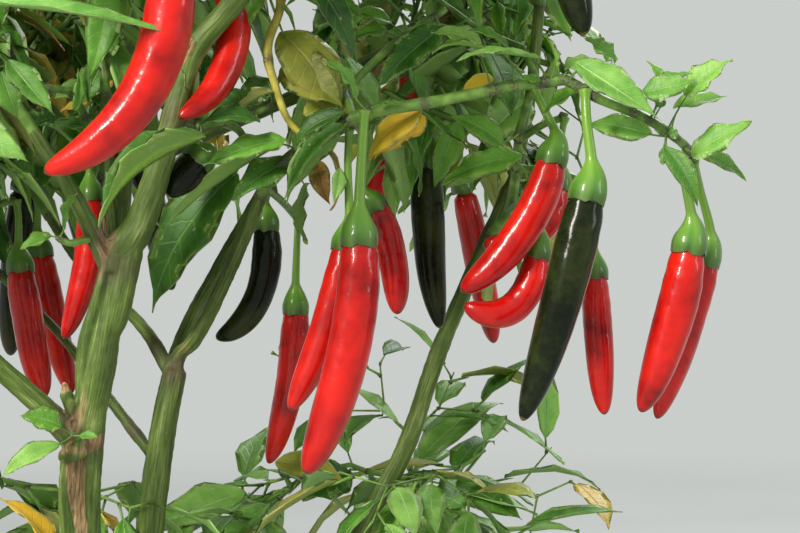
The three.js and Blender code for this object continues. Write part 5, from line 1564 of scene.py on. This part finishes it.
def fruitStalkSkin():
    # a fruit's stalk and cup: ribbed fresh green with a wet shine, deep green where it grips the shoulder
    material, add, feed, place = newMaterial("fruitStalkSkin", {
        "Roughness": 0.42, "IOR": 1.45, "Specular IOR Level": 0.3, "Coat Weight": 0.5, "Coat Roughness": 0.12,
    })
    down, rib = [add("Attribute", {"attribute_name": key}).outputs["Fac"] for key in ("down", "rib")]
    patches = add("TexNoise", {"Scale": 260, "Detail": 4}, {"Vector": place}) # about 4 mm across
    run = add("Math", {"operation": "MULTIPLY_ADD", 1: 0.14}, {0: patches, 2: down})
    green = add("ValToRGB", {"stops": [
        (0.0, "#5f8a2c"), (0.2, "#61912c"), (0.55, "#4c8225"), (0.85, "#2f611b"), (1.0, "#1b4113"),
    ]}, {0: run})
    lit = add("MapRange", {1: -1, 2: 1, 3: 0, 4: 0.32}, {0: rib})
    green = add("Mix", {**colours, 7: "#9cc05c"}, {0: lit, 6: green})
    bump = add("Bump", {"Strength": 0.35, "Distance": 0.25 * metres}, {"Height": patches})
    feed({"Base Color": green, "Normal": bump})
    return material


fruitDetail = {
    "dents": (0.03, 0.008), # as shares of the girth: long soft ones, then two lengthwise furrows
    "wrinkles": 0.026, # across the shoulder
    "sized": 7.5, # the half width of a fruit for which these are right, in millimetres:
    "cup": 12.3, "overhang": 3.1, "rim": 0.5, "bulge": 0.04, "teeth": 0.9, "closing": 1.3,
    "pinch": (0.2, 4), "stalkRadius": (1.6, 2.3), "stalkRibs": 0.07,
}


def fruitCurve(fruit):
    # a fruit's middle line: down its stalk, then the parabola from neck to tip whose middle is bowed aside.
    # With it the share of its length where the shoulder is, and the whole length
    root, neck, tip = [np.array(fruit[key], float) for key in ("root", "neck", "tip")]
    pull = (neck + tip) / 2 + 2 * np.array(fruit["bow"], float)
    t = np.linspace(0, 1, 7)[:, None]
    body = arc(neck, pull, tip, t)
    lead = neck - unit(pull - neck) * min(sizes["stalkLead"], np.linalg.norm(neck - root) * 0.4)
    bend = root + (neck - root) * sizes["stalkBend"]
    line = smoothLine(np.vstack([root, bend, lead, body]), 240)
    whole = steps(line).sum()
    return line, gapTo(neck, line).argmin() / 240, whole


def skinRadius(fruit, past, length):
    # the body's radius past millimetres below its shoulder, drawn in and closed under the cup:
    # bodyRadius(past / length) * (1 - pinch exp(-past / 4)) * sqrt(past / closing)
    pinch, reach = fruitDetail["pinch"]
    closed = np.sqrt(np.clip(past / fruitDetail["closing"], 0, 1))
    pinched = 1 - pinch * np.exp(-np.maximum(past, 0) / reach)
    return bodyRadius(fruit, np.clip(past / length, 0, 1)) * (closed * pinched)


def fruitSkin(fruit, rings, sides, seed):
    # a fruit's body: skinRadius along its middle line, times 1 + long dents - two furrows + fine wrinkles
    line, shoulder, whole = fruitCurve(fruit)
    length = whole * (1 - shoulder)
    s = 1 - (1 - np.linspace(0, 0.9985, rings)) ** 1.5
    a = turnsOf(sides)[None]
    deal = np.random.default_rng(seed).uniform(0, 6.3, 8)
    S = s[:, None]
    dent, furrow = fruitDetail["dents"]
    shape = 1 + dent * (np.sin(2 * a + deal[0] + 3 * S) * 0.6 + np.sin(a * 3 - 6 * S + deal[1]) * 0.4)
    shape += dent * 0.8 * np.sin(11 * S + deal[2] + 1.2 * np.sin(a + deal[3])) * np.sin(a + deal[4])
    for turn in (deal[5], deal[5] + 2.9):
        off = np.angle(np.exp(1j * (a - turn - 0.9 * S)))
        shape -= furrow * 1.6 * hump(off, 0.3) * (1 - S)
    shape += fruitDetail["wrinkles"] * np.sin(52 * S + 2.5 * np.sin(2 * a + deal[6])) * np.exp(-S / 0.25)
    line = evenly(line, shoulder + (1 - shoulder) * s)
    radius = np.maximum(skinRadius(fruit, s * length, length), 0.2)
    points, faces = oneTube(line, radius[:, None] * shape, sides)
    return points, faces, ringValues(s[None], sides)


def fruitStalk(fruit, rings, sides, seed):
    # a stalk that opens to a bell over the shoulder: radius = stalk + (rim - stalk) sin(down the bell)^1.45,
    # a little fuller near its end and never less than the skin under it. Its toothed rim turns back in
    line, shoulder, whole = fruitCurve(fruit)
    size = fruit["girth"] / fruitDetail["sized"]
    rise = min(fruitDetail["cup"] * size / whole, shoulder * 0.6)
    reach = fruitDetail["overhang"] * size / whole
    down = 1 - (1 - np.linspace(0, 1, rings)) ** 1.25
    t = down * (shoulder + reach)
    x = np.clip((t - shoulder + rise) / (rise + reach), 0, 1)
    thin, thick = fruitDetail["stalkRadius"]
    stalk = (thin + (thick - thin) * (t / shoulder) ** 2) * size + 0.7 * hump(t * whole, 1.8)
    skin = skinRadius(fruit, np.clip(t - shoulder, 0, 1) * whole, whole * (1 - shoulder))
    skin = skin + fruitDetail["rim"]
    bell = np.sin(np.minimum(1, x / 0.8) * np.pi / 2) ** 1.45
    bell *= 1 + fruitDetail["bulge"] * hump(x - 0.78, 0.16)
    radius = np.maximum(stalk + (skin[-1] - stalk) * bell, np.where(t > shoulder, skin, 0))
    cover = radius[-1]
    t = np.concatenate([t, t[-1] - np.array([0, 0.6, 1.4]) / whole])
    radius = np.concatenate([radius, [cover - 0.25, cover - 0.9, cover * 0.4]])
    down, x = [np.concatenate([v, [1, 1, 1]]) for v in (down, x)]
    a = turnsOf(sides)[None]
    deal = np.random.default_rng(seed).uniform(0, 6.3, 3)
    onCup = x[:, None]
    ribs = np.cos(5 * a + deal[0]) * 0.7 + 0.3 * np.cos(10 * a + deal[1])
    girth = radius[:, None] * (1 + fruitDetail["stalkRibs"] * ribs * (1 - 0.6 * onCup))
    slide = fruitDetail["teeth"] * ribs * onCup**6
    points, faces = oneTube(evenly(line, t), girth, sides, slide)
    rib = np.concatenate([(ribs * (1 - 0.3 * onCup)).ravel(), [0, 0]])
    return points, faces, ringValues(x[None], sides), rib


def fruitPieces(names, ending, group, skinRings, stalkRings, sides, seed):
    # a group of fruit as three pieces: ripe skins, unripe skins and stalks
    skins = {"ripe": [], "unripe": []}
    stalks = []
    for index, fruit in enumerate(group):
        kind = "ripe" if fruit["ripe"] else "unripe"
        skins[kind].append(fruitSkin(fruit, skinRings, sides, seed + index))
        stalks.append(fruitStalk(fruit, stalkRings, max(8, sides // 2), seed + index))
    for kind, colour in (("ripe", "red"), ("unripe", "green")):
        points, faces, down = joined(skins[kind])
        stand = [name for name in names if name.startswith(colour)] or names
        makePiece(kind + "Fruit" + ending, points, faces, fruitFinish[kind], stand,
                  pointValues={"down": down})
    points, faces, down, rib = joined(stalks)
    makePiece("fruitStalks" + ending, points, faces, fruitFinish["stalk"], names,
              pointValues={"down": down, "rib": rib})


fruitFinish = {"ripe": podSkin("ripeSkin"), "unripe": podSkin("unripeSkin"), "stalk": fruitStalkSkin()}
# What the picture shows of some fruit that is finer than the CAD model's
fruitLooks = {
    "red_fruit_front": {"girth": 8.1},
    "green_fruit_small": {"blunt": 2.4, "neck": [34, -61, 338], "tip": [23, -66, 325]},
}
for name, fruit in fruits.items():
    fruit.update({"ripe": name.startswith("red"), **fruitLooks.get(name, {})})
fruitPieces(list(fruits), "", list(fruits.values()), skinRings=84, stalkRings=44, sides=40, seed=500)
ripeShare = 0.62
deal = seeded(77)
for fruit in foliage["fruits"]:
    fruit["ripe"] = deal() < ripeShare
fruitPieces(list(masses), "Ruled", foliage["fruits"], skinRings=22, stalkRings=12, sides=14, seed=900)
print("fruit made:", len(fruits), "near and", len(foliage["fruits"]), "ruled")


# Floor, light and camera

studio = {
    "haze": "#e2e6e2", "hazeStrength": 0.78,
    "fade": (1.3, 2.6), # metres from the plant over which the floor melts into the pale surround
    "rings": [0.4, 1, 2, 4, 9, 20, 45], # the floor's, in metres
    "aim": (0.07, 0, 0.3), # the middle of the plant, which every lamp faces
    "key": {"at": (-1.15, -1.6, 1.5), "size": (0.4, 1.1), "power": 88, "colour": "#fff7ec"},
    "side": {"at": (2.1, -0.9, 0.9), "size": (0.4, 1.1), "power": 9, "colour": "#f1f6ff"},
    "back": {"at": (0.9, 1.7, 1.9), "size": (0.8, 0.8), "power": 34, "colour": "#ffffff"},
}


def paleFloor():
    # a studio floor painted matt white-grey, which melts into the even light round it
    material, add, feed, place = newMaterial("paleFloor", {"Roughness": 0.9, "Specular IOR Level": 0.1})
    paint = add("TexNoise", {"Scale": 3, "Detail": 4}, {"Vector": place})
    tint = add("ValToRGB", {"stops": [(0.3, "#a2a6a5"), (0.7, "#abaead")]}, {0: paint})
    feed({"Base Color": tint})
    far = add("VectorMath", {"operation": "LENGTH"}, {0: place})
    low, high = studio["fade"]
    share = add("MapRange", {**soft, 1: low, 2: high}, {0: far.outputs["Value"]})
    glow = add("Emission", {"Color": studio["haze"], "Strength": studio["hazeStrength"]})
    shader, output = material.node_tree.nodes[:2] # as newMaterial made them
    blend = add("MixShader", links={0: share, 1: shader, 2: glow})
    wire(material.node_tree, output, {"Surface": blend})
    return material


def makeFloor():
    # a flat disc: rings x sides of r (cos a, sin a)
    rings, sides = np.array(studio["rings"])[:, None], 96
    a = turnsOf(sides)
    grid = np.stack([rings * np.cos(a), rings * np.sin(a), rings * 0 * a], -1)
    j = np.arange(sides)
    k = (j + 1) % sides
    i = np.arange(len(rings) - 1)[:, None] * sides
    quads = np.stack([i + j, i + sides + j, i + sides + k, i + k], -1).reshape(-1, 4)
    mesh = bpy.data.meshes.new("floor")
    mesh.from_pydata(grid.reshape(-1, 3).tolist(), [], quads.tolist() + [j.tolist()])
    floor = bpy.data.objects.new("floor", mesh)
    bpy.context.scene.collection.objects.link(floor)
    floor.data.materials.append(paleFloor())


def makeLight(name):
    # a soft oblong lamp that faces the middle of the plant
    lamp = bpy.data.lights.new(name, "AREA")
    lamp.shape = "RECTANGLE"
    lamp.size, lamp.size_y = studio[name]["size"]
    lamp.energy = studio[name]["power"]
    lamp.color = linear(studio[name]["colour"])[:3]
    light = bpy.data.objects.new(name, lamp)
    bpy.context.scene.collection.objects.link(light)
    light.location = studio[name]["at"]
    x, y, z = studio["aim"]
    aim = light.location.copy()
    aim.x, aim.y, aim.z = aim.x - x, aim.y - y, aim.z - z
    light.rotation_euler = aim.to_track_quat("Z", "Y").to_euler()


makeFloor()
for name in ("key", "side", "back"):
    makeLight(name)
world = bpy.data.worlds.new("evenLight")
bpy.context.scene.world = world
world.use_nodes = True
world.node_tree.nodes.clear()
sky = addNode(world.node_tree, "Background", {"Color": studio["haze"], "Strength": studio["hazeStrength"]})
addNode(world.node_tree, "OutputWorld", links={"Surface": sky})
lens = bpy.data.cameras.new("photoView")
lens.lens, lens.sensor_width, lens.clip_start = view["lens"], view["sensor"], 0.05
camera = bpy.data.objects.new("photoView", lens)
camera.location = np.array(view["at"]) * metres
camera.rotation_euler = (math.pi / 2, 0, 0)
bpy.context.scene.collection.objects.link(camera)
bpy.context.scene.camera = camera
bpy.context.scene.view_settings.view_transform = "Standard"
print("stage, lights and camera are set")
